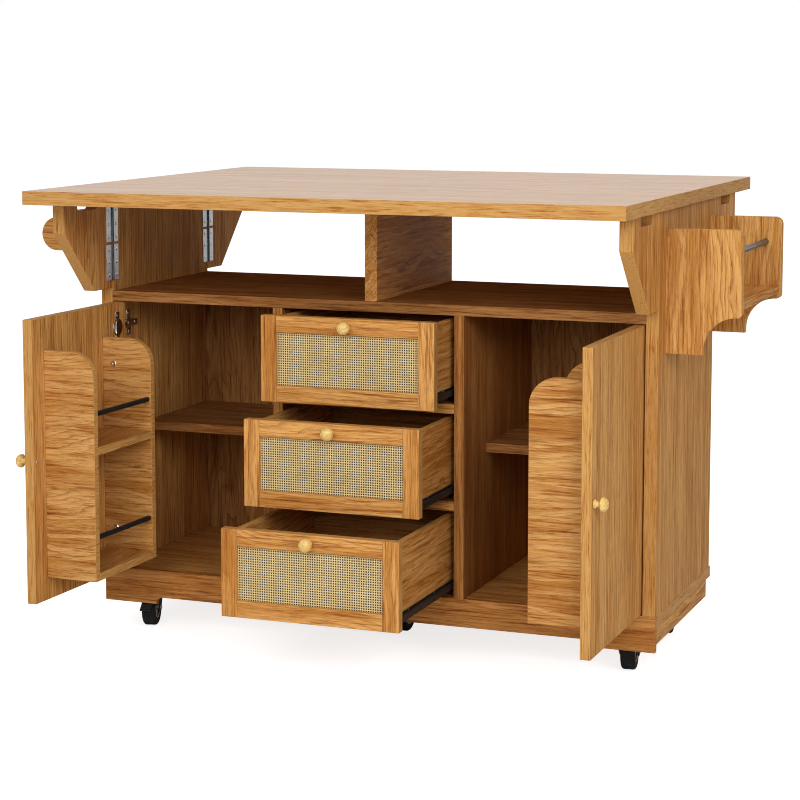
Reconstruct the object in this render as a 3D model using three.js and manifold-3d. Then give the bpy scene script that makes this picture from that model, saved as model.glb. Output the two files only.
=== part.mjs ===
// Kitchen island on five casters: a drop-leaf worktop on four folding wing brackets, an open shelf
// below it, three cane-fronted drawers between two door bays with racks on the doors, a spice rack on
// the right end and a towel rail on the left end.
// Millimetres, +Z up, the front faces -Y and +X is to the right.  Each size is written once here.
import * as THREE from "three";
import { mergeVertices, toCreasedNormals } from "three/addons/utils/BufferGeometryUtils.js";
import Module from "manifold-3d";

const wasm = await Module();
wasm.setup();

// Worktop: a fixed main board between two drop leaves.
const unitHeight = 914;
const topLength = 1180;
const mainDepth = 466;
const leafDepth = 266;
const topThick = 26;
const seam = 1.5;

// Carcass.
const bodyWidth = 1156;
const bodyDepth = 436;
const sideThick = 25;
const panelThick = 20;
const openHeight = 190;
const drawerBayWidth = 358;
const dividerThick = 25;
const dividerOffset = 7;
const dividerInset = 4;
const backThick = 12;
const backInset = 2;
const shelfTop = 412;
const shelfThick = 18;
const shelfInset = 134;
const railThick = 18;
const railDepth = 60;

// Base panel and plinth.
const baseTop = 129;
const baseThick = 22;
const baseBackReach = 12;
const footBottom = 60;
const plinthBottom = 74;
const footLength = 115;
const footCurve = 14;
const apronThick = 12;
const plinthThick = 18;
const plinthBackInset = 24;

// Wing brackets under the leaves.
const wingLength = 189;
const wingNose = 60;
const wingFoot = 70;
const wingDeckGap = 6;
const wingTopGap = 0.8;
const wingSeam = 1;
const notchLength = 80;
const notchDepth = 20;
const notchRadius = 8;
const notchStart = 57;

// Butt hinges: two on each wing, two on each leaf.
const barrelRadius = 4.5;
const barrelSides = 8;
const pinRadius = 1.8;
const pinGap = 0.4;
const plateThick = 2;
const plateWidth = 24;
const plateSink = 0.4;
const knuckles = 3;
const knuckleGap = 0.3;
const wingHingeLength = 72;
const wingHingeSpacing = 77;
const wingHingeInset = 19;
const leafHingeLength = 76;
const leafHingeOffset = 300;

// Doors, inset between the side panels and the partitions.
const doorThick = 19;
const doorEndGap = 2;
const doorHingeGap = 3;
const doorFreeGap = 1.5;
const doorAxisInset = 6;
const leftDoorAngle = 92;
const rightDoorAngle = 90;
const doorKnobInset = 13;
const doorKnobHeight = 404;

// Concealed door hinges: a cup and an edge slot in the door, a cranked arm on the side panel.
const cupRadius = 17.5;
const cupLift = 3;
const cupInset = 26;
const cupFromEnd = 49;
const slotReach = 16;
const slotSkin = 2.5;
const armWidth = 12;
const armBarrel = 3.2;
const armNeck = 5;
const armCrank = 14;
const armRise = 24;
const armBase = 9;
const armTail = 84;

// Door racks.
const rackDepth = 108;
const rackThick = 15;
const rackNear = 76;
const rackLength = 232;
const rackBottom = 175;
const rackTopDrop = 62;
const rackCorner = 50;
const rackShelfTop = 432;
const rackRodRadius = 4;
const rackRodDepth = 100;
const rackRodHeights = [257, 495];

// Drawers.
const frontThick = 19;
const frontGap = 2;
const frontBorder = 32;
const caneRecess = 6;
const caneThick = 3;
const caneLap = 6;
const boxSideGap = 12;
const boxLength = 380;
const boxWall = 12;
const boxFloor = 6;
const boxFloorRise = 10;
const boxTopDrop = 8;
const boxBottomRise = 13;
const drawerOpenings = [288, 185, 105];

// Drawer runners: a drawer member on the box and a cabinet member on each partition.
const runnerHeight = 18;
const runnerReach = 7;
const runnerWeb = 2.5;
const runnerLip = 3;
const runnerFlange = 1.5;
const runnerSetback = 28;
const runnerLength = 350;
const runnerSink = 0.5;

// Turned knobs.
const knobRadius = 13;
const knobReach = 26;
const knobFoot = 8;
const knobNeck = 5.5;

// Spice rack on the right end, towel rail on the left end.
const bracketThick = 16;
const bracketFront = 47;
const bracketSpan = 343;
const spiceReach = 143;
const spiceTopDrop = 36;
const spiceTailDrop = 269;
const spiceTailWidth = 72;
const spiceOuterDrop = 198;
const spiceRound = 14;
const spiceToe = 9;
const spiceShelfDrop = 172;
const spiceShelfThick = 14;
const spiceShelfInset = 4;
const spiceRodRadius = 6;
const spiceRodReach = 111;
const spiceRodDrop = 85;
const towelReach = 162;
const towelRadius = 34;
const towelDrop = 83;
const towelRodRadius = 8;
const rodSocket = 8;

// Casters.
const casterEndInset = 70;
const casterSideInset = 74;
const casterPlate = 56;
const casterPlateThick = 3;
const casterPlateSink = 0.5;
const raceRadius = 20;
const raceHeight = 5;
const kingpinRadius = 5;
const wheelRadius = 37.5;
const wheelWidth = 28;
const wheelRound = 6;
const hubRadius = 19;
const hubRecess = 4;
const casterTrail = 16;
const axleRadius = 4;
const forkGap = 2;
const forkThick = 3;
const forkTopGap = 6;
const forkTopLength = 38;
const forkEnd = 11;
const pedalWidth = 22;
const pedalThick = 3;
const pedalHub = 4;
const pedalPin = 2;
const pedalPivot = [41, 73];
const pedalBend = [56, 56];
const pedalTip = [78, 46];

// General clearances.
const seat = 0.3;
const bearingGap = 0.3;
const roundSides = 18;
const arcSides = 7;

// Places worked out from the sizes above.
const topUnder = unitHeight - topThick;
const outerX = bodyWidth / 2;
const innerX = outerX - sideThick;
const frontY = -bodyDepth / 2;
const backY = bodyDepth / 2;
const deckTop = topUnder - openHeight;
const deckUnder = deckTop - panelThick;
const baseUnder = baseTop - baseThick;
const backInnerY = backY - backInset - backThick;
const bayX = drawerBayWidth / 2;
const partitionX = bayX + panelThick;
const drawerPitch = (deckUnder - baseTop - 2 * railThick) / 3 + railThick;
const drawerOpeningHeight = drawerPitch - railThick;
const doorWidth = innerX - partitionX - doorHingeGap - doorFreeGap;
const doorHeight = deckUnder - baseTop - 2 * doorEndGap;
const doorBottom = baseTop + doorEndGap;
const doorHingeHeights = [doorBottom + cupFromEnd, doorBottom + doorHeight - cupFromEnd];
const axisLift = barrelRadius + seat;
const rackTop = doorBottom + doorHeight - rackTopDrop;
const spiceFrontY = frontY + bracketFront;
const spiceTop = topUnder - spiceTopDrop;
const spiceTail = topUnder - spiceTailDrop;
const spiceOuterEnd = topUnder - spiceOuterDrop;
const spiceShelfTop = topUnder - spiceShelfDrop;
const spiceRodHeight = topUnder - spiceRodDrop;
const towelHeight = topUnder - towelDrop;
const casterAcross = outerX - casterEndInset;
const casterAlong = backY - casterSideInset;

// ---- solids and booleans ----

function toSolid(geometry) {
  const bare = geometry.index ? geometry.toNonIndexed() : geometry.clone();
  for (const name of Object.keys(bare.attributes)) if (name !== "position") bare.deleteAttribute(name);
  const merged = mergeVertices(bare, 1e-4);
  return new wasm.Manifold(new wasm.Mesh({
    numProp: 3,
    vertProperties: new Float32Array(merged.attributes.position.array),
    triVerts: new Uint32Array(merged.index.array),
  }));
}

function toGeometry(solid) {
  const mesh = solid.getMesh();
  const geometry = new THREE.BufferGeometry();
  geometry.setAttribute("position", new THREE.BufferAttribute(new Float32Array(mesh.vertProperties), 3));
  geometry.setIndex(new THREE.BufferAttribute(new Uint32Array(mesh.triVerts), 1));
  return toCreasedNormals(geometry, Math.PI / 6);
}

function join(...pieces) {
  return toGeometry(wasm.Manifold.union(pieces.map(toSolid)));
}

function cut(body, ...tools) {
  return toGeometry(toSolid(body).subtract(wasm.Manifold.union(tools.map(toSolid))));
}

// A board that fills the ranges [from, to] along X, Y and Z.
function board(xs, ys, zs) {
  const middle = [xs, ys, zs].map(([from, to]) => (from + to) / 2);
  const size = [xs, ys, zs].map(([from, to]) => Math.abs(to - from));
  return new THREE.BoxGeometry(...size).translate(...middle);
}

function roundBar(radius, length, axis, sides = roundSides) {
  const bar = new THREE.CylinderGeometry(radius, radius, length, sides);
  if (axis === "x") bar.rotateZ(Math.PI / 2);
  if (axis === "z") bar.rotateX(Math.PI / 2);
  return bar;
}

// A profile drawn in X and Z, with its thickness from y to y + thick.
function boardAcross(shape, y, thick) {
  const solid = new THREE.ExtrudeGeometry(shape, { depth: thick, bevelEnabled: false, curveSegments: arcSides });
  return solid.rotateX(Math.PI / 2).translate(0, y + thick, 0);
}

// A profile drawn in Y and Z, with its thickness from x to x + thick.
function boardAlong(shape, x, thick) {
  const solid = new THREE.ExtrudeGeometry(shape, { depth: thick, bevelEnabled: false, curveSegments: arcSides });
  return solid.rotateX(Math.PI / 2).rotateZ(Math.PI / 2).translate(x, 0, 0);
}

// ---- finishes ----

const finishes = {
  oak: { color: 0xbd8648, roughness: 0.55, metalness: 0 },
  worktop: { color: 0xc39a68, roughness: 0.4, metalness: 0 },
  cane: { color: 0xcfbb8c, roughness: 0.75, metalness: 0 },
  birch: { color: 0xe0bb70, roughness: 0.45, metalness: 0 },
  steel: { color: 0xb9bdc2, roughness: 0.35, metalness: 0.9 },
  blackRod: { color: 0x17181a, roughness: 0.4, metalness: 0.6 },
  greyRod: { color: 0x45484d, roughness: 0.35, metalness: 0.8 },
  rubber: { color: 0x111214, roughness: 0.6, metalness: 0 },
};

const island = new THREE.Group();

function addPiece(parent, name, finish, geometry) {
  const mesh = new THREE.Mesh(geometry, new THREE.MeshStandardMaterial(finishes[finish]));
  mesh.name = name;
  parent.add(mesh);
  return mesh;
}

// ---- butt hinges ----

// One leaf of a butt hinge.  Its axis is the local Z axis, its plate lies along +X with the wood on the
// -Y side.  The fixed leaf carries the pin and the outer knuckles, and the moving leaf turns on it.
function hingeLeaf(length, moving) {
  const step = length / knuckles;
  const plateY = [-axisLift - plateSink, plateThick - axisLift];
  const solids = [board([barrelRadius + 2 * seat, plateWidth], plateY, [-length / 2, length / 2])];
  for (let i = moving ? 1 : 0; i < knuckles; i += 2) {
    const low = -length / 2 + i * step + knuckleGap / 2;
    const high = low + step - knuckleGap;
    solids.push(board([0, barrelRadius + 3 * seat], [-axisLift + seat, plateThick - axisLift], [low, high]));
    solids.push(roundBar(barrelRadius, high - low, "z", barrelSides).translate(0, 0, (low + high) / 2));
  }
  const pinHole = roundBar(pinRadius + pinGap, length + 2, "z", barrelSides);
  const pin = roundBar(pinRadius, length, "z", barrelSides);
  return moving ? cut(join(...solids), pinHole) : join(...solids, pin);
}

// Places a hinge leaf: its axis passes through the point, its plate lies towards one direction, and
// offWood points out of the wood that the plate is screwed to.
function placedHinge(leaf, point, towards, offWood) {
  const along = new THREE.Vector3().crossVectors(towards, offWood);
  const frame = new THREE.Matrix4().makeBasis(towards, offWood, along).setPosition(point);
  return leaf.clone().applyMatrix4(frame);
}

const wingLeafFixed = hingeLeaf(wingHingeLength, false);
const wingLeafMoving = hingeLeaf(wingHingeLength, true);
const topLeafFixed = hingeLeaf(leafHingeLength, false);
const topLeafMoving = hingeLeaf(leafHingeLength, true);

const wingHingeHeights = [0, 1].map(
  (i) => topUnder - wingHingeInset - wingHingeLength / 2 - i * wingHingeSpacing);

// The two hinges of the wing at the corner (sideX, sideY), as leaves on the carcass or on the wing.
function wingHinges(sideX, sideY, moving) {
  const towards = new THREE.Vector3(0, moving ? sideY : -sideY, 0);
  const offWood = new THREE.Vector3(-sideX, 0, 0);
  const leaf = moving ? wingLeafMoving : wingLeafFixed;
  return wingHingeHeights.map((z) => placedHinge(
    leaf, new THREE.Vector3(sideX * (innerX - axisLift), sideY * (backY + wingSeam / 2), z), towards, offWood));
}

// The two hinges under the seam of one leaf, as leaves on the main board or on the drop leaf.
function topHinges(sideY, moving) {
  const towards = new THREE.Vector3(0, moving ? sideY : -sideY, 0);
  const offWood = new THREE.Vector3(0, 0, -1);
  const leaf = moving ? topLeafMoving : topLeafFixed;
  return [-leafHingeOffset, leafHingeOffset].map((x) => placedHinge(
    leaf, new THREE.Vector3(x, sideY * (mainDepth + seam) / 2, topUnder - axisLift), towards, offWood));
}

// ---- carcass ----

// Cranked hinge arms: each lies on the side panel, steps out round the door's edge and ends in the
// barrel that the door turns on.  The outline is drawn from the hinge axis towards the cabinet.
function hingeArms(sideX) {
  const wall = doorHingeGap + doorAxisInset + runnerSink;
  const outline = new THREE.Shape();
  outline.moveTo(-armBarrel * Math.SQRT1_2, armBarrel * Math.SQRT1_2);
  outline.absarc(0, 0, armBarrel, 3 * Math.PI / 4, 9 * Math.PI / 4, false);
  outline.lineTo(armNeck + armBarrel, armCrank);
  outline.lineTo(armNeck + armBarrel, armRise);
  outline.lineTo(armBase - wall, armRise + armNeck);
  outline.lineTo(armBase - wall, armTail);
  outline.lineTo(-wall, armTail);
  outline.lineTo(-wall, armRise);
  outline.lineTo(0, armCrank + armNeck);
  outline.closePath();
  return doorHingeHeights.map((z) => {
    const solid = new THREE.ExtrudeGeometry(outline, { depth: armWidth, bevelEnabled: false, curveSegments: arcSides });
    if (sideX > 0) solid.rotateY(Math.PI).translate(0, 0, armWidth);
    return solid.translate(sideX * (innerX - doorHingeGap - doorAxisInset), frontY + doorAxisInset, z - armWidth / 2);
  });
}

function sidePanel(sideX) {
  const panel = board([sideX * innerX, sideX * outerX], [frontY, backY], [baseTop, topUnder]);
  return join(panel, ...hingeArms(sideX), ...wingHinges(sideX, -1, false), ...wingHinges(sideX, 1, false));
}

// The bottom edge of the drawer opening, counted from the lowest drawer.
function openingBottom(index) {
  return baseTop + index * drawerPitch;
}

// Cabinet member of a runner: a channel whose two lips carry the tongue of the drawer member.
function cabinetRunner(sideX, index) {
  const low = openingBottom(index) + boxBottomRise;
  const along = [frontY + runnerSetback, frontY + runnerSetback + runnerLength];
  const web = board(
    [sideX * (bayX + runnerSink), sideX * (bayX - runnerReach)], along, [low, low + runnerHeight]);
  const track = board([sideX * (bayX - runnerWeb), sideX * (bayX - runnerReach - 1)],
    [along[0] - 1, along[1] + 1], [low + runnerLip, low + runnerHeight - runnerLip]);
  return cut(web, track);
}

function partition(sideX) {
  const panel = board([sideX * bayX, sideX * partitionX], [frontY, backInnerY], [baseTop, deckUnder]);
  return join(panel, ...drawerOpenings.map((_, index) => cabinetRunner(sideX, index)));
}

function casterPlaces() {
  return [
    { name: "front_left", x: -casterAcross, y: -casterAlong, heading: 285, brake: true },
    { name: "front_right", x: casterAcross, y: -casterAlong, heading: 97, brake: true },
    { name: "rear_left", x: -casterAcross, y: casterAlong, heading: 262, brake: false },
    { name: "rear_right", x: casterAcross, y: casterAlong, heading: 98, brake: false },
    { name: "centre", x: 0, y: 0, heading: 270, brake: false },
  ];
}

// The base panel carries the casters' plates and ball races.
function basePanel() {
  const panel = board([-outerX, outerX], [frontY + apronThick, backY + baseBackReach], [baseUnder, baseTop]);
  const half = casterPlate / 2;
  const mounts = casterPlaces().flatMap(({ x, y }) => [
    board([x - half, x + half], [y - half, y + half],
      [baseUnder - casterPlateThick, baseUnder + casterPlateSink]),
    roundBar(raceRadius, raceHeight + 1, "z").translate(
      x, y, baseUnder - casterPlateThick - (raceHeight - 1) / 2),
  ]);
  const holes = casterPlaces().map(({ x, y }) =>
    roundBar(kingpinRadius + 2 * bearingGap, raceHeight + 2, "z").translate(
      x, y, baseUnder - casterPlateThick - raceHeight / 2 - 1));
  return cut(join(panel, ...mounts), ...holes);
}

// Front apron: one board whose ends drop to bracket feet, each with a curved rise to the middle.
function apron() {
  const rise = plinthBottom - footBottom;
  const footInner = outerX - footLength;
  const outline = new THREE.Shape();
  outline.moveTo(-outerX, baseTop);
  outline.lineTo(-outerX, footBottom);
  outline.lineTo(-footInner, footBottom);
  outline.absellipse(-footInner + footCurve, footBottom, footCurve, rise, Math.PI, Math.PI / 2, true);
  outline.lineTo(footInner - footCurve, plinthBottom);
  outline.absellipse(footInner - footCurve, footBottom, footCurve, rise, Math.PI / 2, 0, true);
  outline.lineTo(outerX, footBottom);
  outline.lineTo(outerX, baseTop);
  outline.closePath();
  return boardAcross(outline, frontY, apronThick);
}

function addCarcass(parent) {
  const plinthBackY = backY - plinthBackInset;
  const plinthZ = [plinthBottom, baseUnder];
  for (const [name, sideX] of [["left", -1], ["right", 1]]) {
    addPiece(parent, `side_panel_${name}`, "oak", sidePanel(sideX));
    addPiece(parent, `partition_${name}`, "oak", partition(sideX));
    addPiece(parent, `shelf_${name}`, "oak", board(
      [sideX * partitionX, sideX * innerX], [frontY + shelfInset, backInnerY], [shelfTop - shelfThick, shelfTop]));
    addPiece(parent, `plinth_${name}`, "oak", board(
      [sideX * (outerX - plinthThick), sideX * outerX], [frontY + apronThick, plinthBackY], plinthZ));
  }
  addPiece(parent, "plinth_back", "oak", board(
    [plinthThick - outerX, outerX - plinthThick], [plinthBackY - plinthThick, plinthBackY], plinthZ));
  addPiece(parent, "plinth_front", "oak", apron());
  addPiece(parent, "base_panel", "oak", basePanel());
  addPiece(parent, "back_panel", "oak", board(
    [-innerX, innerX], [backInnerY, backInnerY + backThick], [baseTop, deckUnder]));
  addPiece(parent, "deck_panel", "oak", board([-innerX, innerX], [frontY, backY], [deckUnder, deckTop]));
  addPiece(parent, "centre_divider", "oak", board(
    [dividerOffset - dividerThick / 2, dividerOffset + dividerThick / 2],
    [frontY + dividerInset, backY - dividerInset], [deckTop, topUnder]));
  for (const [name, index] of [["lower", 1], ["upper", 2]]) {
    const top = openingBottom(index);
    addPiece(parent, `drawer_rail_${name}`, "oak", board(
      [-bayX, bayX], [frontY, frontY + railDepth], [top - railThick, top]));
  }
}

// ---- worktop and wings ----

function addWorktop(parent) {
  const main = board([-topLength / 2, topLength / 2], [-mainDepth / 2, mainDepth / 2], [topUnder, unitHeight]);
  addPiece(parent, "top_board", "worktop", join(main, ...topHinges(-1, false), ...topHinges(1, false)));
  for (const [name, sideY] of [["front", -1], ["back", 1]]) {
    const near = mainDepth / 2 + seam;
    const leaf = board([-topLength / 2, topLength / 2], [sideY * near, sideY * (near + leafDepth)],
      [topUnder, unitHeight]);
    addPiece(parent, `drop_leaf_${name}`, "worktop", join(leaf, ...topHinges(sideY, true)));
  }
}

// A wing bracket: square at the hinge, a short nose, a straight slant below it and a finger notch on top.
function wingBoard(sideX, sideY) {
  const near = backY + wingSeam;
  const far = near + wingLength;
  const top = topUnder - wingTopGap;
  const bottom = deckTop + wingDeckGap;
  const notch = [near + notchStart, near + notchStart + notchLength];
  const floor = top - notchDepth;
  const r = notchRadius;
  const outline = new THREE.Shape();
  outline.moveTo(near, bottom);
  outline.lineTo(near + wingFoot, bottom);
  outline.lineTo(far, top - wingNose);
  outline.lineTo(far, top);
  outline.lineTo(notch[1], top);
  outline.lineTo(notch[1], floor + r);
  outline.absarc(notch[1] - r, floor + r, r, 0, -Math.PI / 2, true);
  outline.lineTo(notch[0] + r, floor);
  outline.absarc(notch[0] + r, floor + r, r, -Math.PI / 2, -Math.PI, true);
  outline.lineTo(notch[0], top);
  outline.lineTo(near, top);
  outline.closePath();
  const panel = boardAlong(outline, Math.min(sideX * innerX, sideX * outerX), sideThick);
  return sideY > 0 ? panel : panel.rotateZ(Math.PI).translate(sideX * (innerX + outerX), 0, 0);
}

function addWings(parent) {
  for (const [alongName, sideY] of [["front", -1], ["back", 1]]) {
    for (const [name, sideX] of [["left", -1], ["right", 1]]) {
      addPiece(parent, `wing_${alongName}_${name}`, "oak",
        join(wingBoard(sideX, sideY), ...wingHinges(sideX, sideY, true)));
    }
  }
}

// ---- knobs ----

// A turned mushroom knob whose foot stands on the local plane y = 0 and whose cap points along -Y.
function knob() {
  const capStart = knobReach * 0.42;
  const points = [
    new THREE.Vector2(0, 0),
    new THREE.Vector2(knobFoot, 0),
    new THREE.Vector2(knobFoot, knobReach * 0.1),
    new THREE.Vector2(knobNeck, knobReach * 0.2),
    new THREE.Vector2(knobNeck, capStart - knobReach * 0.08),
    new THREE.Vector2(knobRadius * 0.8, capStart),
  ];
  const capSteps = 4;
  for (let i = 0; i <= capSteps; i++) {
    const turn = (i / capSteps) * Math.PI / 2;
    points.push(new THREE.Vector2(knobRadius * Math.cos(turn), capStart + knobReach * 0.14
      + (knobReach * 0.86 - capStart) * Math.sin(turn)));
  }
  points[points.length - 1].x = 0;
  return new THREE.LatheGeometry(points, roundSides).rotateX(Math.PI);
}

// ---- doors ----

function rackBoardOutline() {
  const inner = 0;
  const outer = rackDepth;
  const outline = new THREE.Shape();
  outline.moveTo(inner, rackBottom);
  outline.lineTo(outer, rackBottom);
  outline.lineTo(outer, rackTop - rackCorner);
  outline.absarc(outer - rackCorner, rackTop - rackCorner, rackCorner, 0, Math.PI / 2, false);
  outline.lineTo(inner, rackTop);
  outline.closePath();
  return outline;
}

// A door and its rack in a frame whose origin is on the hinge axis, drawn closed, then swung open.
// The left door has sideX = -1 and reaches along +X when closed; the right door is its mirror image.
function addDoor(parent, name, sideX, angle) {
  const door = new THREE.Group();
  door.position.set(sideX * (innerX - doorHingeGap - doorAxisInset), frontY + doorAxisInset, 0);
  door.rotation.z = sideX * THREE.MathUtils.degToRad(angle);
  parent.add(door);
  const across = (s) => -sideX * (s - doorAxisInset);
  const innerFace = doorThick - doorAxisInset;

  const panel = board([across(0), across(doorWidth)], [-doorAxisInset, innerFace],
    [doorBottom, doorBottom + doorHeight]);
  const cups = doorHingeHeights.map((z) => roundBar(cupRadius, cupLift + 1, "y").translate(
    across(cupInset), innerFace + (cupLift - 1) / 2, z));
  const slots = doorHingeHeights.map((z) => board(
    [across(-1), across(doorAxisInset + slotReach)], [slotSkin - doorAxisInset, innerFace + cupLift + 1],
    [z - armWidth / 2 - seat, z + armWidth / 2 + seat]));
  addPiece(door, `door_${name}`, "oak", cut(join(panel, ...cups), ...slots));

  const rackFace = innerFace + seat;
  const ends = [rackNear, rackNear + rackLength - rackThick];
  const sides = ends.map((s) => boardAlong(
    rackBoardOutline(), Math.min(across(s), across(s + rackThick)), rackThick).translate(0, rackFace, 0));
  const inside = [across(rackNear + 1), across(rackNear + rackLength - 1)];
  const shelves = [rackBottom + rackThick, rackShelfTop].map((top) => board(
    inside, [rackFace, rackFace + rackDepth], [top - rackThick, top]));
  const middle = across(rackNear + rackLength / 2);
  const rods = rackRodHeights.map((z) => roundBar(rackRodRadius, rackLength - rackThick, "x").translate(
    middle, rackFace + rackRodDepth, z));
  addPiece(door, `door_rack_${name}`, "oak", join(...sides, ...shelves, ...rods));

  const handle = addPiece(door, `door_knob_${name}`, "birch", knob());
  handle.position.set(across(doorWidth - doorKnobInset), -doorAxisInset - seat, doorKnobHeight);
}

// ---- drawers ----

// A drawer in a frame whose origin is on the front plane, at the lower edge of its opening.
function addDrawer(parent, name, index) {
  const drawer = new THREE.Group();
  drawer.position.set(0, frontY - drawerOpenings[index], openingBottom(index));
  parent.add(drawer);
  const half = bayX - frontGap;
  const high = drawerOpeningHeight - frontGap;
  const openHalf = half - frontBorder;
  const openZ = [frontGap + frontBorder, high - frontBorder];

  const frame = board([-half, half], [0, frontThick], [frontGap, high]);
  const window = board([-openHalf, openHalf], [-1, frontThick + 1], openZ);
  const rebate = board([-openHalf - caneLap, openHalf + caneLap], [caneRecess, frontThick + 1],
    [openZ[0] - caneLap, openZ[1] + caneLap]);
  addPiece(drawer, `drawer_front_${name}`, "oak", cut(frame, window, rebate));

  const lap = caneLap - seat;
  addPiece(drawer, `cane_panel_${name}`, "cane", board(
    [-openHalf - lap, openHalf + lap], [caneRecess + seat, caneRecess + seat + caneThick],
    [openZ[0] - lap, openZ[1] + lap]));

  const boxX = bayX - boxSideGap;
  const boxZ = [boxBottomRise, high - boxTopDrop];
  const floor = boxZ[0] + boxFloorRise;
  const shell = board([-boxX, boxX], [frontThick, frontThick + boxLength], boxZ);
  const inside = [[boxWall - boxX, boxX - boxWall], [frontThick + boxWall, frontThick + boxLength - boxWall]];
  const hollow = board(...inside, [floor + boxFloor, boxZ[1] + 1]);
  const under = board(...inside, [boxZ[0] - 1, floor]);
  const runners = [-1, 1].flatMap((sideX) => {
    const along = [frontThick + seat, frontThick + runnerLength];
    const tongue = board([sideX * (boxX - runnerSink), sideX * (bayX - runnerWeb - 1)], along,
      [boxZ[0] + runnerLip + seat, boxZ[0] + runnerHeight - runnerLip - seat]);
    const flange = board([sideX * (boxX - runnerSink), sideX * (boxX + runnerFlange)], along,
      [boxZ[0], boxZ[0] + runnerHeight]);
    return [tongue, flange];
  });
  addPiece(drawer, `drawer_box_${name}`, "oak", join(cut(shell, hollow, under), ...runners));

  const handle = addPiece(drawer, `drawer_knob_${name}`, "birch", knob());
  handle.position.set(0, -seat, high - frontBorder / 2);
}

// ---- end racks ----

// Spice bracket: rounded top corner, a toe, and a quarter-round sweep in to a narrow tail.
function spiceBracket(y) {
  const wall = outerX;
  const far = wall + spiceReach;
  const tail = wall + spiceTailWidth;
  const sweep = far - spiceToe - tail;
  const outline = new THREE.Shape();
  outline.moveTo(wall, spiceTop);
  outline.lineTo(wall, spiceTail);
  outline.lineTo(tail, spiceTail);
  outline.lineTo(tail, spiceOuterEnd - sweep);
  outline.absarc(tail + sweep, spiceOuterEnd - sweep, sweep, Math.PI, Math.PI / 2, true);
  outline.absarc(far - spiceToe, spiceOuterEnd + spiceToe, spiceToe, -Math.PI / 2, 0, false);
  outline.lineTo(far, spiceTop - spiceRound);
  outline.absarc(far - spiceRound, spiceTop - spiceRound, spiceRound, 0, Math.PI / 2, false);
  outline.closePath();
  return boardAcross(outline, y, bracketThick);
}

function towelBracket(y) {
  const centre = -outerX - towelReach + towelRadius;
  const outline = new THREE.Shape();
  outline.moveTo(-outerX, towelHeight - towelRadius);
  outline.lineTo(-outerX, towelHeight + towelRadius);
  outline.absarc(centre, towelHeight, towelRadius, Math.PI / 2, 3 * Math.PI / 2, false);
  outline.closePath();
  return boardAcross(outline, y, bracketThick);
}

// A rod that stands in blind holes in two brackets, and the holes that take it.
function endRod(x, z, radius, grow) {
  const length = bracketSpan + 2 * rodSocket + (grow ? 2 * seat : 0);
  return roundBar(radius + (grow ? bearingGap : 0), length, "y").translate(
    x, spiceFrontY + bracketThick + bracketSpan / 2, z);
}

function addEndRacks(parent) {
  const rearY = spiceFrontY + bracketThick + bracketSpan;
  const spiceRod = [outerX + spiceRodReach, spiceRodHeight, spiceRodRadius];
  const towelRod = [-outerX - towelReach + towelRadius, towelHeight, towelRodRadius];
  for (const [name, y] of [["front", spiceFrontY], ["rear", rearY]]) {
    addPiece(parent, `spice_bracket_${name}`, "oak", cut(spiceBracket(y), endRod(...spiceRod, true)));
    addPiece(parent, `towel_bracket_${name}`, "oak", cut(towelBracket(y), endRod(...towelRod, true)));
  }
  addPiece(parent, "spice_shelf", "oak", board(
    [outerX, outerX + spiceReach - spiceShelfInset], [spiceFrontY + bracketThick, rearY],
    [spiceShelfTop - spiceShelfThick, spiceShelfTop]));
  addPiece(parent, "spice_rod", "greyRod", endRod(...spiceRod, false));
  addPiece(parent, "towel_rod", "greyRod", endRod(...towelRod, false));
}

// ---- casters ----

// The wheel turns on the local X axis.  Its profile is a tread with rounded shoulders and a dished hub.
function casterWheel() {
  const half = wheelWidth / 2;
  const bore = axleRadius + bearingGap;
  const points = [new THREE.Vector2(bore, -half + hubRecess), new THREE.Vector2(hubRadius, -half + hubRecess),
    new THREE.Vector2(hubRadius + hubRecess / 2, -half)];
  const steps = 2;
  for (let i = 0; i <= steps; i++) {
    const turn = (i / steps) * Math.PI / 2;
    points.push(new THREE.Vector2(wheelRadius - wheelRound + wheelRound * Math.sin(turn),
      -half + wheelRound - wheelRound * Math.cos(turn)));
  }
  const mirrored = points.map((p) => new THREE.Vector2(p.x, -p.y)).reverse();
  const profile = [...points, ...mirrored, points[0].clone()];
  return new THREE.LatheGeometry(profile, roundSides).rotateZ(Math.PI / 2);
}

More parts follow.
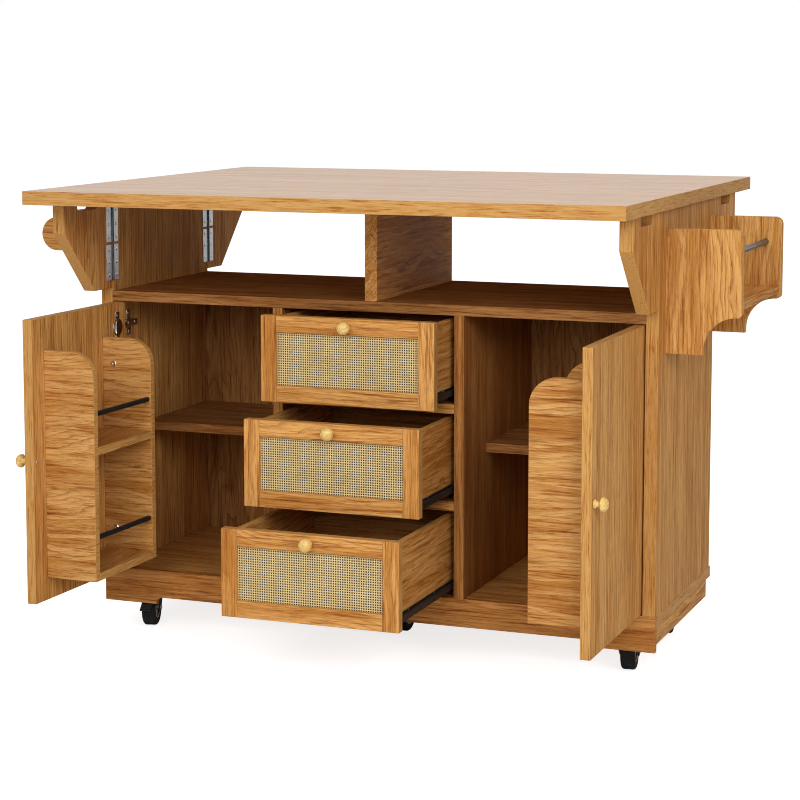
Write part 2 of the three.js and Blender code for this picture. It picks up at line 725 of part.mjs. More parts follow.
// The fork straddles the wheel: two cheeks, a bridge, a swivel head with its kingpin, and the axle.
function casterFork(brake) {
  const inner = wheelWidth / 2 + forkGap;
  const bridgeLow = 2 * wheelRadius + forkTopGap;
  const headTop = baseUnder - casterPlateThick - raceHeight - seat;
  const headLow = headTop - 4;
  const half = forkTopLength / 2;
  const cheek = new THREE.Shape();
  cheek.moveTo(-half, headLow);
  cheek.lineTo(-half, bridgeLow);
  cheek.absarc(casterTrail, wheelRadius, forkEnd, Math.PI * 0.95, Math.PI * 2.05, false);
  cheek.lineTo(half + 4, bridgeLow);
  cheek.lineTo(half, headLow);
  cheek.closePath();
  const solids = [-1, 1].map((side) => boardAlong(cheek, side > 0 ? inner : -inner - forkThick, forkThick));
  solids.push(board([-inner - 1, inner + 1], [-half, half], [bridgeLow, headLow]));
  solids.push(roundBar(raceRadius, headTop - headLow + 1, "z").translate(0, 0, (headTop + headLow - 1) / 2));
  solids.push(roundBar(kingpinRadius, raceHeight + 4, "z", barrelSides).translate(0, 0, headTop + (raceHeight - 4) / 2));
  solids.push(roundBar(axleRadius, 2 * (inner + forkThick) + 3, "x", barrelSides).translate(0, casterTrail, wheelRadius));
  if (brake) {
    const [y, z] = pedalPivot;
    const ear = new THREE.Shape();
    ear.moveTo(half - 8, bridgeLow + 6);
    ear.lineTo(half - 8, bridgeLow - 2);
    ear.absarc(y, z, pedalHub + 1, Math.PI * 1.25, Math.PI * 2.2, false);
    ear.closePath();
    solids.push(...[-1, 1].map((side) => boardAlong(ear, side > 0 ? inner : -inner - forkThick, forkThick)));
    solids.push(roundBar(pedalPin, 2 * inner + 2, "x", barrelSides).translate(0, y, z));
  }
  return join(...solids);
}

// Brake pedal: a bent plate on a hub that turns on the fork's cross pin.
function brakePedal() {
  const [pivot, bend, tip] = [pedalPivot, pedalBend, pedalTip].map(([y, z]) => new THREE.Vector2(y, z));
  const plate = (from, to, width) => {
    const run = to.clone().sub(from);
    const middle = from.clone().add(to).multiplyScalar(0.5);
    return new THREE.BoxGeometry(width, run.length() + 1, pedalThick)
      .rotateX(run.angle()).translate(0, middle.x, middle.y);
  };
  const hub = roundBar(pedalHub, pedalWidth, "x", barrelSides).translate(0, pivot.x, pivot.y);
  const hole = roundBar(pedalPin + bearingGap, pedalWidth + 2, "x", barrelSides).translate(0, pivot.x, pivot.y);
  return cut(join(hub, plate(pivot, bend, pedalWidth), plate(bend, tip, pedalWidth)), hole);
}

function addCasters(parent) {
  for (const { name, x, y, heading, brake } of casterPlaces()) {
    const caster = new THREE.Group();
    caster.position.set(x, y, 0);
    caster.rotation.z = THREE.MathUtils.degToRad(heading - 90);
    parent.add(caster);
    addPiece(caster, `caster_fork_${name}`, "rubber", casterFork(brake));
    const wheel = addPiece(caster, `caster_wheel_${name}`, "rubber", casterWheel());
    wheel.position.set(0, casterTrail, wheelRadius);
    if (brake) addPiece(caster, `brake_pedal_${name}`, "rubber", brakePedal());
  }
}

// ---- assembly ----

addCarcass(island);
addWorktop(island);
addWings(island);
addDoor(island, "left", -1, leftDoorAngle);
addDoor(island, "right", 1, rightDoorAngle);
["bottom", "middle", "top"].forEach((name, index) => addDrawer(island, name, index));
addEndRacks(island);
addCasters(island);

// The origin is on the floor, in the middle of the unit's footprint with its doors and racks.
const leftReach = outerX + towelReach;
const rightReach = outerX + spiceReach;
const frontReach = doorWidth - doorAxisInset - frontY - doorAxisInset;
const backReach = mainDepth / 2 + seam + leafDepth;
island.position.set(Math.round((leftReach - rightReach) / 2), Math.round((frontReach - backReach) / 2), 0);

export default island;
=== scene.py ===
# %% [markdown]
# # A kitchen island, dressed
# The rigid parts of this kitchen island come packed from a CAD model, and this file gives them their
# looks: stained wood with its grain, woven cane, steel hinges, black casters.  Everything is in
# metres, in the CAD model's own frame, so a new piece goes exactly where the CAD says.

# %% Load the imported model
import math
import random

import bmesh
import bpy
from mathutils import Matrix, Vector


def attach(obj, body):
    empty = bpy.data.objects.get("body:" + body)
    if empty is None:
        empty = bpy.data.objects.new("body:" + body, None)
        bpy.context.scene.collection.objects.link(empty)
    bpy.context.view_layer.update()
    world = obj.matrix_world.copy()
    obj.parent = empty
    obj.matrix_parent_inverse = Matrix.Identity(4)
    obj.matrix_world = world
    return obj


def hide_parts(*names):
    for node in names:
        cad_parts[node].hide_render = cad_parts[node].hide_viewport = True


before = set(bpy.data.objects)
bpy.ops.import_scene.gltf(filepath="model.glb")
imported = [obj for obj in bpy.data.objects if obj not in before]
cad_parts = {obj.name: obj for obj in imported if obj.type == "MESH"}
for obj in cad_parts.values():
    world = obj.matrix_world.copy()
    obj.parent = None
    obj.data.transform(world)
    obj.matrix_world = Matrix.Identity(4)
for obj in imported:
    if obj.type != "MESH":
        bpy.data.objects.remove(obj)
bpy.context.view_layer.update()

# %% [markdown]
# ## Camera
# The picture was taken from the right, a little above the worktop, with a long lens.  The camera
# hardly looks down, so that upright edges stay nearly upright in the picture: the frame is moved with
# a small vertical shift instead.  Its place and its focal length, which is given in pixels of the
# picture, were fitted to corners of the object.

# %% Camera
MM = 0.001
SHIFT_X, SHIFT_Y = 10 * MM, 28 * MM
PICTURE_WIDTH, SENSOR_WIDTH = 800, 36
FOCAL_PIXELS, RAISED_PIXELS = 2199.4, -100
YAW, LOOKS_DOWN = 0.3673, 0.1103


def place(x, y, z):
    """A point given in millimetres from the carcass centre on the floor, in the row frame."""
    return Vector((x * MM + SHIFT_X, y * MM + SHIFT_Y, z * MM))


def add_object(name, data):
    """Puts data into the scene as an object at the origin."""
    made = bpy.data.objects.new(name, data)
    bpy.context.scene.collection.objects.link(made)
    return made


lens = bpy.data.cameras.new("photo_camera")
lens.sensor_width = SENSOR_WIDTH
lens.lens = FOCAL_PIXELS / PICTURE_WIDTH * SENSOR_WIDTH
lens.shift_y = RAISED_PIXELS / PICTURE_WIDTH
lens.clip_end = 50
camera = add_object("photo_camera", lens)
camera.location = place(1573.4, -4129.0, 1167.7)
camera.rotation_euler = (math.pi / 2 - LOOKS_DOWN, 0, YAW)
bpy.context.scene.camera = camera
print("camera", tuple(round(c, 3) for c in camera.location))

# %% [markdown]
# ## Drawing node trees
# Materials, shader groups and Geometry Nodes are all trees of nodes.  Written out, each node takes
# several lines, so a few helpers shorten them.  A Wire is an output that can be used in plain
# arithmetic: every sign adds a Math node, and a formula in this file reads like a formula.

# %% Nodes and wires
class Wire:
    """The output of a node, for use as an input or in arithmetic."""

    def __init__(self, tree, socket):
        self.tree, self.socket = tree, socket

    def math(self, operation, *others):
        return result_of(self.tree, "ShaderNodeMath", dict(enumerate((self, *others))), operation=operation)

    def __add__(self, other):
        return self.math("ADD", other)

    def __sub__(self, other):
        return self.math("SUBTRACT", other)

    def __rsub__(self, other):
        return result_of(self.tree, "ShaderNodeMath", {0: other, 1: self}, operation="SUBTRACT")

    def __mul__(self, other):
        return self.math("MULTIPLY", other)

    def __truediv__(self, other):
        return self.math("DIVIDE", other)


def connect(tree, node, inputs):
    """Links each input to the wire or socket given for it, or sets it to the plain value."""
    for name, value in inputs.items():
        value = getattr(value, "socket", value)
        if isinstance(value, bpy.types.NodeSocket):
            tree.links.new(value, node.inputs[name])
        else:
            node.inputs[name].default_value = value


def add_node(tree, kind, inputs={}, **settings):
    """Adds a node, applies its settings and fills its inputs."""
    node = tree.nodes.new(kind)
    for name, value in settings.items():
        setattr(node, name, value)
    connect(tree, node, inputs)
    return node


def result_of(tree, kind, inputs={}, output=0, **settings):
    """Adds a node and returns one of its outputs as a wire."""
    return Wire(tree, add_node(tree, kind, inputs, **settings).outputs[output])


print("node helpers ready")

# %% [markdown]
# ## Floor
# The object stands on a pale floor.  A diffuse floor alone would look grey in the picture, and more
# light would wash out the wood.  So the floor glows, but only for rays that come straight from the
# camera: it looks white, keeps the object's shadow and gives the object no light.

# %% Floor
WHITE, BLACK, PALE = (1, 1, 1, 1), (0, 0, 0, 1), (0.9, 0.9, 0.9, 1)
FLOOR_GLOW, FLOOR_HALF = 0.77, 20


def floor_material():
    material = bpy.data.materials.new("stage_floor")
    material.use_nodes = True
    tree = material.node_tree
    tree.nodes.clear()
    glow = result_of(tree, "ShaderNodeEmission", {"Color": WHITE, "Strength": FLOOR_GLOW})
    nothing = result_of(tree, "ShaderNodeBsdfTransparent", {"Color": BLACK})
    seen = result_of(tree, "ShaderNodeLightPath", output="Is Camera Ray")
    lift = result_of(tree, "ShaderNodeMixShader", {0: seen, 1: nothing, 2: glow})
    diffuse = result_of(tree, "ShaderNodeBsdfDiffuse", {"Color": PALE})
    both = result_of(tree, "ShaderNodeAddShader", {0: diffuse, 1: lift})
    add_node(tree, "ShaderNodeOutputMaterial", {"Surface": both})
    return material


ground = bpy.data.meshes.new("floor")
ground.from_pydata([(x * FLOOR_HALF, y * FLOOR_HALF, 0) for x, y in ((-1, -1), (1, -1), (1, 1), (-1, 1))],
                   [], [(0, 1, 2, 3)])
ground.materials.append(floor_material())
add_object("floor", ground)
print("floor ready")

# %% [markdown]
# ## Room
# The world gives a weak even light.  To the camera and in reflections it is white, so that metal and
# the coat of the worktop mirror a white room.

# %% Room
ROOM_LIGHT = 0.3
world = bpy.data.worlds.new("pale_room")
world.use_nodes = True
room = world.node_tree
room.nodes.clear()
path = add_node(room, "ShaderNodeLightPath").outputs
seen = Wire(room, path["Is Camera Ray"]).math("MAXIMUM", path["Is Glossy Ray"])
ambient = result_of(room, "ShaderNodeBackground", {"Color": WHITE, "Strength": ROOM_LIGHT})
white = result_of(room, "ShaderNodeBackground", {"Color": WHITE, "Strength": 1})
shown = result_of(room, "ShaderNodeMixShader", {0: seen, 1: ambient, 2: white})
add_node(room, "ShaderNodeOutputWorld", {"Surface": shown})
bpy.context.scene.world = world
print("room ready")

# %% [markdown]
# ## Lamps and picture
# Three broad soft lamps: one in front, one from the right and a weaker one from above.  The holes of
# the cane are smaller than a pixel of the picture.  The denoiser would smear them, so its prefilter is
# off, and the pixel filter is narrower than usual.

# %% Lamps and picture
LAMPS = {
    "lamp_front": ((0.3, -4.5, 2.3), 2.2, 87),
    "lamp_right": ((3.2, -3.6, 2.6), 2.0, 92),
    "lamp_top": ((0.2, 0.4, 4.2), 2.6, 40),
}
LIT_POINT = Vector((0, 0, 0.45))
for name, (location, size, power) in LAMPS.items():
    light = bpy.data.lights.new(name, "AREA")
    light.shape, light.size, light.energy = "SQUARE", size, power
    lamp = add_object(name, light)
    lamp.location = location
    lamp.rotation_euler = (LIT_POINT - Vector(location)).to_track_quat("-Z", "Y").to_euler()
bpy.context.scene.view_settings.view_transform = "Standard"
bpy.context.scene.cycles.filter_width = 1.0
bpy.context.scene.cycles.denoising_prefilter = "NONE"
print("lamps", sorted(LAMPS))

# %% [markdown]
# ## Colour and pattern helpers
# Four nodes do most of the work in the finishes: noise, noise that is stretched along one direction,
# a ramp that turns a value into a mask or a colour, and a mix of two colours by a mask.  Some nodes
# have several sockets of the same name, and those are picked by their number.

# %% Noise, ramp and mix
MIX_FACTOR, MIX_A, MIX_B, MIXED_COLOUR = 0, 6, 7, 2
SURFACE_OUTPUTS = {"Color": "Color", "Roughness": "Float", "Height": "Float"}


def new_tree(name, kind, inputs, outputs):
    """An empty shader group or Geometry Nodes tree, and wires from its named inputs."""
    tree = bpy.data.node_groups.new(name, kind + "NodeTree")
    for way, sockets in (("INPUT", inputs), ("OUTPUT", outputs)):
        for socket, value_kind in sockets.items():
            tree.interface.new_socket(socket, in_out=way, socket_type="NodeSocket" + value_kind)
    start = tree.nodes.new("NodeGroupInput")
    return tree, {name: Wire(tree, start.outputs[name]) for name in inputs}


def stretched(tree, vector, scale):
    return result_of(tree, "ShaderNodeVectorMath", {0: vector, 1: scale}, operation="MULTIPLY")


def noise(tree, vector, scale, detail, roughness=0.5, distortion=0.0):
    return result_of(tree, "ShaderNodeTexNoise", {
        "Vector": vector, "Scale": scale, "Detail": detail, "Roughness": roughness,
        "Distortion": distortion}, "Fac")


def ramp(tree, factor, *stops):
    """A colour ramp; each stop is (position, colour), and a plain number stands for a grey."""
    node = add_node(tree, "ShaderNodeValToRGB", {"Fac": factor})
    elements = node.color_ramp.elements
    while len(elements) < len(stops):
        elements.new(0.5)
    for element, (position, colour) in zip(elements, stops):
        element.position = position
        element.color = (*colour, 1) if isinstance(colour, tuple) else (colour, colour, colour, 1)
    return Wire(tree, node.outputs["Color"])


def blend(tree, factor, a, b):
    return result_of(tree, "ShaderNodeMix", {MIX_FACTOR: factor, MIX_A: a, MIX_B: b}, MIXED_COLOUR,
                     data_type="RGBA")


print("pattern helpers ready")

# %% [markdown]
# ## Wood grain
# The whole unit is faced with one stained wood.  Its grain is made of five noises that are stretched
# along the board: a slow bend that turns the growth rings into long arches, a ripple that breaks their
# lines, broad bands, fine streaks, and short dark pores.  A picture of wood would be quicker, but it
# would repeat and have no relief.  One shader group holds the grain, and every board places it with
# its own direction and offset, so that no two boards show the same figure.

# %% Shader group: grain
RINGS_PER_METRE, RING_SLANT, RING_BEND, RING_RIPPLE = 115.0, 0.83, 0.12, 0.008


def grain_group():
    """Grain along X, for a place given in metres."""
    tree, inputs = new_tree("wood_grain", "Shader", {
        "Vector": "Vector", "Light": "Color", "Mid": "Color", "Dark": "Color", "Figure": "Float"},
        SURFACE_OUTPUTS)

    def drawn_out(along, across, *look):
        """Noise with one scale along the board and another across it."""
        return noise(tree, stretched(tree, inputs["Vector"], (along, across, across)), 1.0, *look)

    bend, ripple = drawn_out(2.4, 9.0, 2.0), drawn_out(16.0, 70.0, 3.0, 0.6)
    bands, streaks = drawn_out(2.0, 24.0, 3.0, 0.6), drawn_out(8.0, 210.0, 4.0, 0.7)
    fine = drawn_out(30.0, 700.0, 3.0, 0.75)

    split = add_node(tree, "ShaderNodeSeparateXYZ", {0: inputs["Vector"]}).outputs
    across = Wire(tree, split["Y"]) + Wire(tree, split["Z"]) * RING_SLANT
    bowed = across + (bend - 0.5) * RING_BEND * inputs["Figure"]
    rings = (bowed + ripple * RING_RIPPLE) * RINGS_PER_METRE
    late_wood = rings.math("FRACT").math("POWER", 4.0)
    year = result_of(tree, "ShaderNodeTexWhiteNoise", {"W": rings.math("FLOOR")}, "Value",
                     noise_dimensions="1D")

    tone = bands * 0.45 + streaks * 0.43 + year * 0.12
    colour = blend(tree, ramp(tree, tone, (0.41, 0), (0.57, 1)), inputs["Mid"], inputs["Light"])
    broken = ramp(tree, ripple, (0.34, 0.3), (0.6, 0.9))
    line = late_wood * (year * 0.85 + 0.15) * broken
    threads = ramp(tree, streaks, (0.3, 0.9), (0.46, 0))
    pores = ramp(tree, fine, (0.34, 0.9), (0.49, 0))
    for mask in (line, threads, pores * 0.6):
        colour = blend(tree, mask, colour, inputs["Dark"])
    add_node(tree, "NodeGroupOutput", {
        "Color": colour, "Roughness": fine * 0.2 + 0.4,
        "Height": streaks * 0.5 - pores * 0.5 - line * 0.15})
    return tree


GRAIN = grain_group()
print("grain group", len(GRAIN.nodes), "nodes")

# %% [markdown]
# ## Softened edges, with wear and a painted highlight
# Real boards have a small rounding along every edge, where the stain wears a little lighter and the
# rounding catches the light.  The lighter colour along the edges paints both: wear and a highlight.
# The Bevel node finds those edges: where its rounded normal leaves the flat one, an edge is near.

# %% Shader group: edge wear and painted highlight
def edge_group():
    """A lighter colour along the edges, in patches, for wear and a painted highlight, and the rounded normal.
    """
    tree, inputs = new_tree("edge_wear_and_highlight", "Shader", {
        "Color": "Color", "Wear And Highlight": "Color", "Amount": "Float", "Radius": "Float"},
        {"Color": "Color", "Normal": "Vector"})
    rounded = result_of(tree, "ShaderNodeBevel", {"Radius": inputs["Radius"]}, samples=4)
    flat = result_of(tree, "ShaderNodeNewGeometry", output="Normal")
    agreement = result_of(tree, "ShaderNodeVectorMath", {0: rounded, 1: flat}, "Value",
                          operation="DOT_PRODUCT")
    edge = ramp(tree, 1.0 - agreement, (0.01, 0), (0.2, 1))
    position = result_of(tree, "ShaderNodeTexCoord", output="Object")
    patches = ramp(tree, noise(tree, position, 45.0, 3.0), (0.35, 0.2), (0.65, 1))
    colour = blend(tree, edge * patches * inputs["Amount"], inputs["Color"], inputs["Wear And Highlight"])
    add_node(tree, "NodeGroupOutput", {"Color": colour, "Normal": rounded})
    return tree


EDGES = edge_group()
print("edge group", len(EDGES.nodes), "nodes")

# %% [markdown]
# ## Stains
# Each stain is four colours: the light and the middle tone of the wood, its dark lines, and a lighter
# tone for the edges, which paints both wear and a highlight.  Each kind of board has a stain of its own.
# The "inside", "partition" and "base" stains are darker copies of the oak, painted shade for boards
# inside the cupboards and drawers and for the front plinth.

# %% Stains
STAINS = {
    "oak": ((0.73, 0.375, 0.112), (0.49, 0.195, 0.038), (0.20, 0.04, 0.005), (0.80, 0.50, 0.20)),
    "top": ((0.60, 0.33, 0.115), (0.46, 0.215, 0.06), (0.20, 0.06, 0.012), (0.72, 0.46, 0.2)),
    "side": ((0.70, 0.375, 0.118), (0.50, 0.22, 0.053), (0.21, 0.055, 0.01), (0.76, 0.47, 0.2)),
    # "inside", "partition" and "base": darker copies of the oak, painted shade inside the cupboards and
    # drawers and on the front plinth.
    "inside": ((0.43, 0.20, 0.066), (0.27, 0.106, 0.029), (0.11, 0.028, 0.006), (0.47, 0.245, 0.086)),
    "base": ((0.60, 0.28, 0.08), (0.42, 0.155, 0.032), (0.18, 0.038, 0.005), (0.66, 0.38, 0.14)),
    "partition": ((0.48, 0.215, 0.06), (0.32, 0.115, 0.025), (0.14, 0.03, 0.004), (0.52, 0.29, 0.105)),
    "rack": ((0.64, 0.345, 0.11), (0.43, 0.175, 0.035), (0.19, 0.036, 0.005), (0.70, 0.42, 0.16)),
    "birch": ((0.86, 0.60, 0.2), (0.74, 0.47, 0.13), (0.5, 0.25, 0.05), (0.88, 0.66, 0.3)),
}
STRIP = ((0.33, (0.32, 0.095, 0.017)), (0.44, (0.50, 0.235, 0.06)), (0.62, (0.59, 0.335, 0.115)))
GLOSS, PLAIN_GLOSS = {"inside": 0.0, "side": 0.03, "birch": 0.3}, 0.07
TURNS = {"x": (0, 0, 0), "y": (0, 0, -math.pi / 2), "z": (0, math.pi / 2, 0)}
EDGE_RADIUS, GRAIN_DEPTH, GRAIN_RELIEF = 0.0012, 0.0006, 0.25
seeds = random.Random(11)
print("stains", sorted(STAINS))

# %% [markdown]
# ## Wood
# The broad faces of a board show its grain.  Its narrow edges carry a glued strip with streaks that
# run along the edge, so a board may say which way its broad face looks.  The mask between the two
# comes from the normal, and a like mask keeps the coat of the worktop on its upper face.

# %% Wood
def new_material(name):
    """A material, its node tree and its Principled shader."""
    material = bpy.data.materials.new(name)
    material.use_nodes = True
    tree = material.node_tree
    return material, tree, next(n for n in tree.nodes if n.type == "BSDF_PRINCIPLED")


def looks_along(tree, normal, axis, both_ways=True):
    """1 where the surface faces along the axis (or also against it), 0 where it is parallel to it."""
    share = result_of(tree, "ShaderNodeSeparateXYZ", {0: normal}, "xyz".index(axis))
    return ramp(tree, share.math("ABSOLUTE") if both_ways else share, (0.6, 0), (0.8, 1))


def banded_edge(tree, vector, ends):
    """Colour of the strip glued round a board: streaks that run along each edge."""
    sides, across = (noise(tree, stretched(tree, vector, scale), 1.0, 4.0, 0.7, 0.5)
                     for scale in ((20.0, 420.0, 420.0), (420.0, 20.0, 420.0)))
    return ramp(tree, blend(tree, ends, sides, across), *STRIP)


def wood(name, along, stain="oak", figure=1.0, coat=0.0, wear_and_highlight=0.35, face=None, coat_roughness=0.35):
    """Stained wood with its grain along one axis, at an offset of its own."""
    material, tree, surface = new_material(name)
    light, mid, dark, edge_tone_worn_and_lit = ((*colour, 1) for colour in STAINS[stain])
    coordinates = add_node(tree, "ShaderNodeTexCoord").outputs
    vector = result_of(tree, "ShaderNodeMapping", {
        "Vector": coordinates["Object"], "Rotation": TURNS[along],
        "Location": [seeds.uniform(-3, 3) for _ in range(3)]})
    grain = add_node(tree, "ShaderNodeGroup", {
        "Vector": vector, "Light": light, "Mid": mid, "Dark": dark, "Figure": figure},
        node_tree=GRAIN).outputs
    colour = grain["Color"]
    if face:
        strip = banded_edge(tree, vector, looks_along(tree, coordinates["Normal"], along))
        colour = blend(tree, looks_along(tree, coordinates["Normal"], face), strip, colour)
        if coat:
            coat = looks_along(tree, coordinates["Normal"], face, both_ways=False) * coat
    # Lighter tone along the edges: wear and a painted highlight.
    edges = add_node(tree, "ShaderNodeGroup", {
        "Color": colour, "Wear And Highlight": edge_tone_worn_and_lit, "Amount": wear_and_highlight, "Radius": EDGE_RADIUS}, node_tree=EDGES).outputs
    relief = result_of(tree, "ShaderNodeBump", {
        "Strength": GRAIN_RELIEF, "Distance": GRAIN_DEPTH, "Height": grain["Height"],
        "Normal": edges["Normal"]})
    connect(tree, surface, {
        "Base Color": edges["Color"], "Roughness": grain["Roughness"], "Normal": relief, "Coat Weight": coat,
        "Coat Roughness": coat_roughness, "Specular IOR Level": GLOSS.get(stain, PLAIN_GLOSS)})
    return material


print("wood ready")

# %% [markdown]
# ## Boards that stay as the CAD made them
# Shelves, plinths, rails and brackets are plain boards whose shape is right already, so they only get
# their wood.  Long boards run with their grain, and the brackets of the spice rack stand on end.

# %% Carcass boards
# The "inside" and "base" stains here are painted shade: darker copies of the oak.
for node, along, stain in (
    ("shelf_left", "x", "inside"), ("shelf_right", "x", "inside"), ("plinth_left", "y", "side"),
    ("plinth_right", "y", "side"), ("plinth_back", "x", "side"), ("plinth_front", "x", "base"),
    ("back_panel", "z", "inside"), ("deck_panel", "x", "inside"), ("centre_divider", "y", "oak"),
    ("drawer_rail_lower", "x", "oak"), ("drawer_rail_upper", "x", "oak"),
    ("spice_bracket_front", "z", "side"), ("spice_bracket_rear", "z", "side"), ("spice_shelf", "y", "oak"),
    ("towel_bracket_front", "x", "oak"), ("towel_bracket_rear", "x", "oak"),
):
    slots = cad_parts[node].data.materials
    slots.clear()
    slots.append(wood("wood_" + node, along, stain))
print("boards dressed")

# %% [markdown]
# ## Frames for new pieces
# Boards with fittings are built again here, so that the wood and the metal get finishes of their own.
# A piece is drawn in millimetres in the frame of what carries it (the carcass, an open door, a pulled
# drawer, a turned caster) and is then moved into the row frame, so its object stays at the origin.
# The frame and the name of the body are kept together as the piece's carrier.

# %% Carrier and finishing
def local_frame(x, y, z=0.0, turn=0.0):
    """Matrix from millimetres in a body's own frame to metres in the row frame."""
    return (Matrix.Translation(place(x, y, z)) @ Matrix.Rotation(math.radians(turn), 4, "Z")
            @ Matrix.Scale(MM, 4))


CARCASS = local_frame(0, 0)
ON_CARCASS = (CARCASS, "carcass")
SIDES, ENDS = {"left": -1, "right": 1}, {"front": -1, "back": 1}


def finished(name, build, carrier, material, replaces=(), bevel=0.8):
    """Makes an object from a bmesh drawn in millimetres, rounds its edges and lets it ride on a body."""
    matrix, body = carrier
    build.transform(matrix)
    bmesh.ops.recalc_face_normals(build, faces=build.faces)
    mesh = bpy.data.meshes.new(name)
    build.to_mesh(mesh)
    build.free()
    piece = add_object(name, mesh)
    if bevel:
        rounding = piece.modifiers.new("rounding", "BEVEL")
        rounding.width, rounding.segments = bevel * MM, 2
        rounding.limit_method, rounding.angle_limit = "ANGLE", math.radians(35)
    mesh.shade_smooth()
    mesh.set_sharp_from_angle(angle=math.radians(40))
    mesh.materials.append(material)
    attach(piece, body)
    for node in replaces:
        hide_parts(node)


print("carcass carrier ready")

# %% [markdown]
# ## Boxes and boards
# Most pieces of this unit are sawn boards.  A board could be a scaled cube, but a bmesh takes its
# corners as plain numbers, and the object keeps its scale of 1.  A box can also be added to another
# shape, which is how small fittings are put together.

# %% Boxes and boards
def box_mesh(xs, ys, zs, into=None):
    """A box between three pairs of limits."""
    build = into or bmesh.new()
    xs, ys, zs = sorted(xs), sorted(ys), sorted(zs)
    corners = [build.verts.new((x, y, z)) for x in xs for y in ys for z in zs]
    for face in ((0, 1, 3, 2), (4, 6, 7, 5), (0, 4, 5, 1), (2, 3, 7, 6), (0, 2, 6, 4), (1, 5, 7, 3)):
        build.faces.new([corners[i] for i in face])
    return build


def board(name, limits, carrier, along, stain="oak", replaces=(), bevel=0.8, slot="oak", **look):
    """A plain board between three pairs of limits, in a wood of its own."""
    finished(name, box_mesh(*limits), carrier, wood("wood_" + name, along, stain, **look), replaces,
             bevel)


print("boxes and boards ready")

# %% [markdown]
# ## Metal, rubber and paint
# Steel hinges are bright with fine brush marks, the rods and caster frames are painted dark, and the
# tread of the wheels is matt rubber.  None of them is quite even: cloudy patches change the colour, and
# fine marks change the roughness and give a faint relief.  One shader group holds both.

# %% Shader group: fine unevenness
PATCHES_PER_METRE, MARK_DEPTH = 60.0, 0.0003


def marks_group():
    """Colour, roughness and height that vary over cloudy patches and fine marks."""
    tree, inputs = new_tree("fine_marks", "Shader", {
        "Color": "Color", "Marked": "Color", "Roughness": "Float", "Spread": "Float",
        "Patch Scale": "Float", "Mark Scale": "Vector"}, SURFACE_OUTPUTS)
    position = result_of(tree, "ShaderNodeTexCoord", output="Object")
    patches = noise(tree, position, inputs["Patch Scale"], 4.0)
    marks = noise(tree, stretched(tree, position, inputs["Mark Scale"]), 1.0, 3.0, 0.6)
    mask = ramp(tree, patches, (0.35, 0), (0.7, 1))
    add_node(tree, "NodeGroupOutput", {
        "Color": blend(tree, mask, inputs["Color"], inputs["Marked"]), "Height": marks,
        "Roughness": (marks * 0.6 + patches * 0.4) * inputs["Spread"] + inputs["Roughness"]})
    return tree


MARKS = marks_group()
print("marks group", len(MARKS.nodes), "nodes")

# %% [markdown]
# ## The metal, rubber and painted finishes
# Every finish sends its own colours and roughness into the same group.  Brushed steel has marks that
# are drawn out along one direction, and paint and rubber have a weak gloss of their own.

# %% Finishes
def uneven(name, colour, marked, roughness, spread, metallic=0.0, mark_scale=(400, 400, 400), bump=0.15,
           coat=0.0, gloss=0.5):
    """A metal, rubber or painted finish with the fine_marks group."""
    material, tree, surface = new_material(name)
    marks = add_node(tree, "ShaderNodeGroup", {
        "Color": (*colour, 1), "Marked": (*marked, 1), "Roughness": roughness, "Spread": spread,
        "Patch Scale": PATCHES_PER_METRE, "Mark Scale": mark_scale}, node_tree=MARKS).outputs
    relief = result_of(tree, "ShaderNodeBump", {
        "Strength": bump, "Distance": MARK_DEPTH, "Height": marks["Height"]})
    connect(tree, surface, {
        "Base Color": marks["Color"], "Roughness": marks["Roughness"], "Normal": relief,
        "Metallic": metallic, "Coat Weight": coat, "Specular IOR Level": gloss})
    return material


STEEL = uneven("hinge_steel", (0.78, 0.79, 0.81), (0.62, 0.63, 0.65), 0.22, 0.2, 1.0, (700, 700, 60))
# Dark steel for the knuckles: painted shade along the hinge pin.
KNUCKLE_SHADE = uneven("hinge_knuckle_painted_shade", (0.12, 0.12, 0.125), (0.07, 0.07, 0.072), 0.4, 0.2, 0.9)
CHROME = uneven("polished_steel", (0.86, 0.85, 0.84), (0.66, 0.65, 0.64), 0.14, 0.12, 1.0, bump=0.05)
ROD_BLACK = uneven("rack_rod_black", (0.012, 0.012, 0.013), (0.02, 0.02, 0.022), 0.4, 0.2, gloss=0.15)
ROD_GREY = uneven("rail_dark_grey", (0.05, 0.052, 0.056), (0.035, 0.036, 0.04), 0.28, 0.2, 0.4, coat=0.2)
CASTER_BLACK = uneven("caster_black_paint", (0.014, 0.014, 0.015), (0.03, 0.029, 0.028), 0.35, 0.25,
                      gloss=0.25)
RUNNER_BLACK = uneven("runner_black", (0.018, 0.018, 0.02), (0.03, 0.03, 0.032), 0.35, 0.2, 0.5,
                      (60, 700, 700))
RUBBER = uneven("tread_rubber", (0.012, 0.012, 0.013), (0.03, 0.029, 0.028), 0.6, 0.3, bump=0.3,
                gloss=0.12)
print("metal finishes ready")

# %% [markdown]
# ## Carcass panels with fittings
# The side panels carry hinges inside, the partitions carry the drawer runners, and the base panel
# carries the casters.  The wood is built as plain boards with a small rounding, and the metal follows
# in cells of its own.

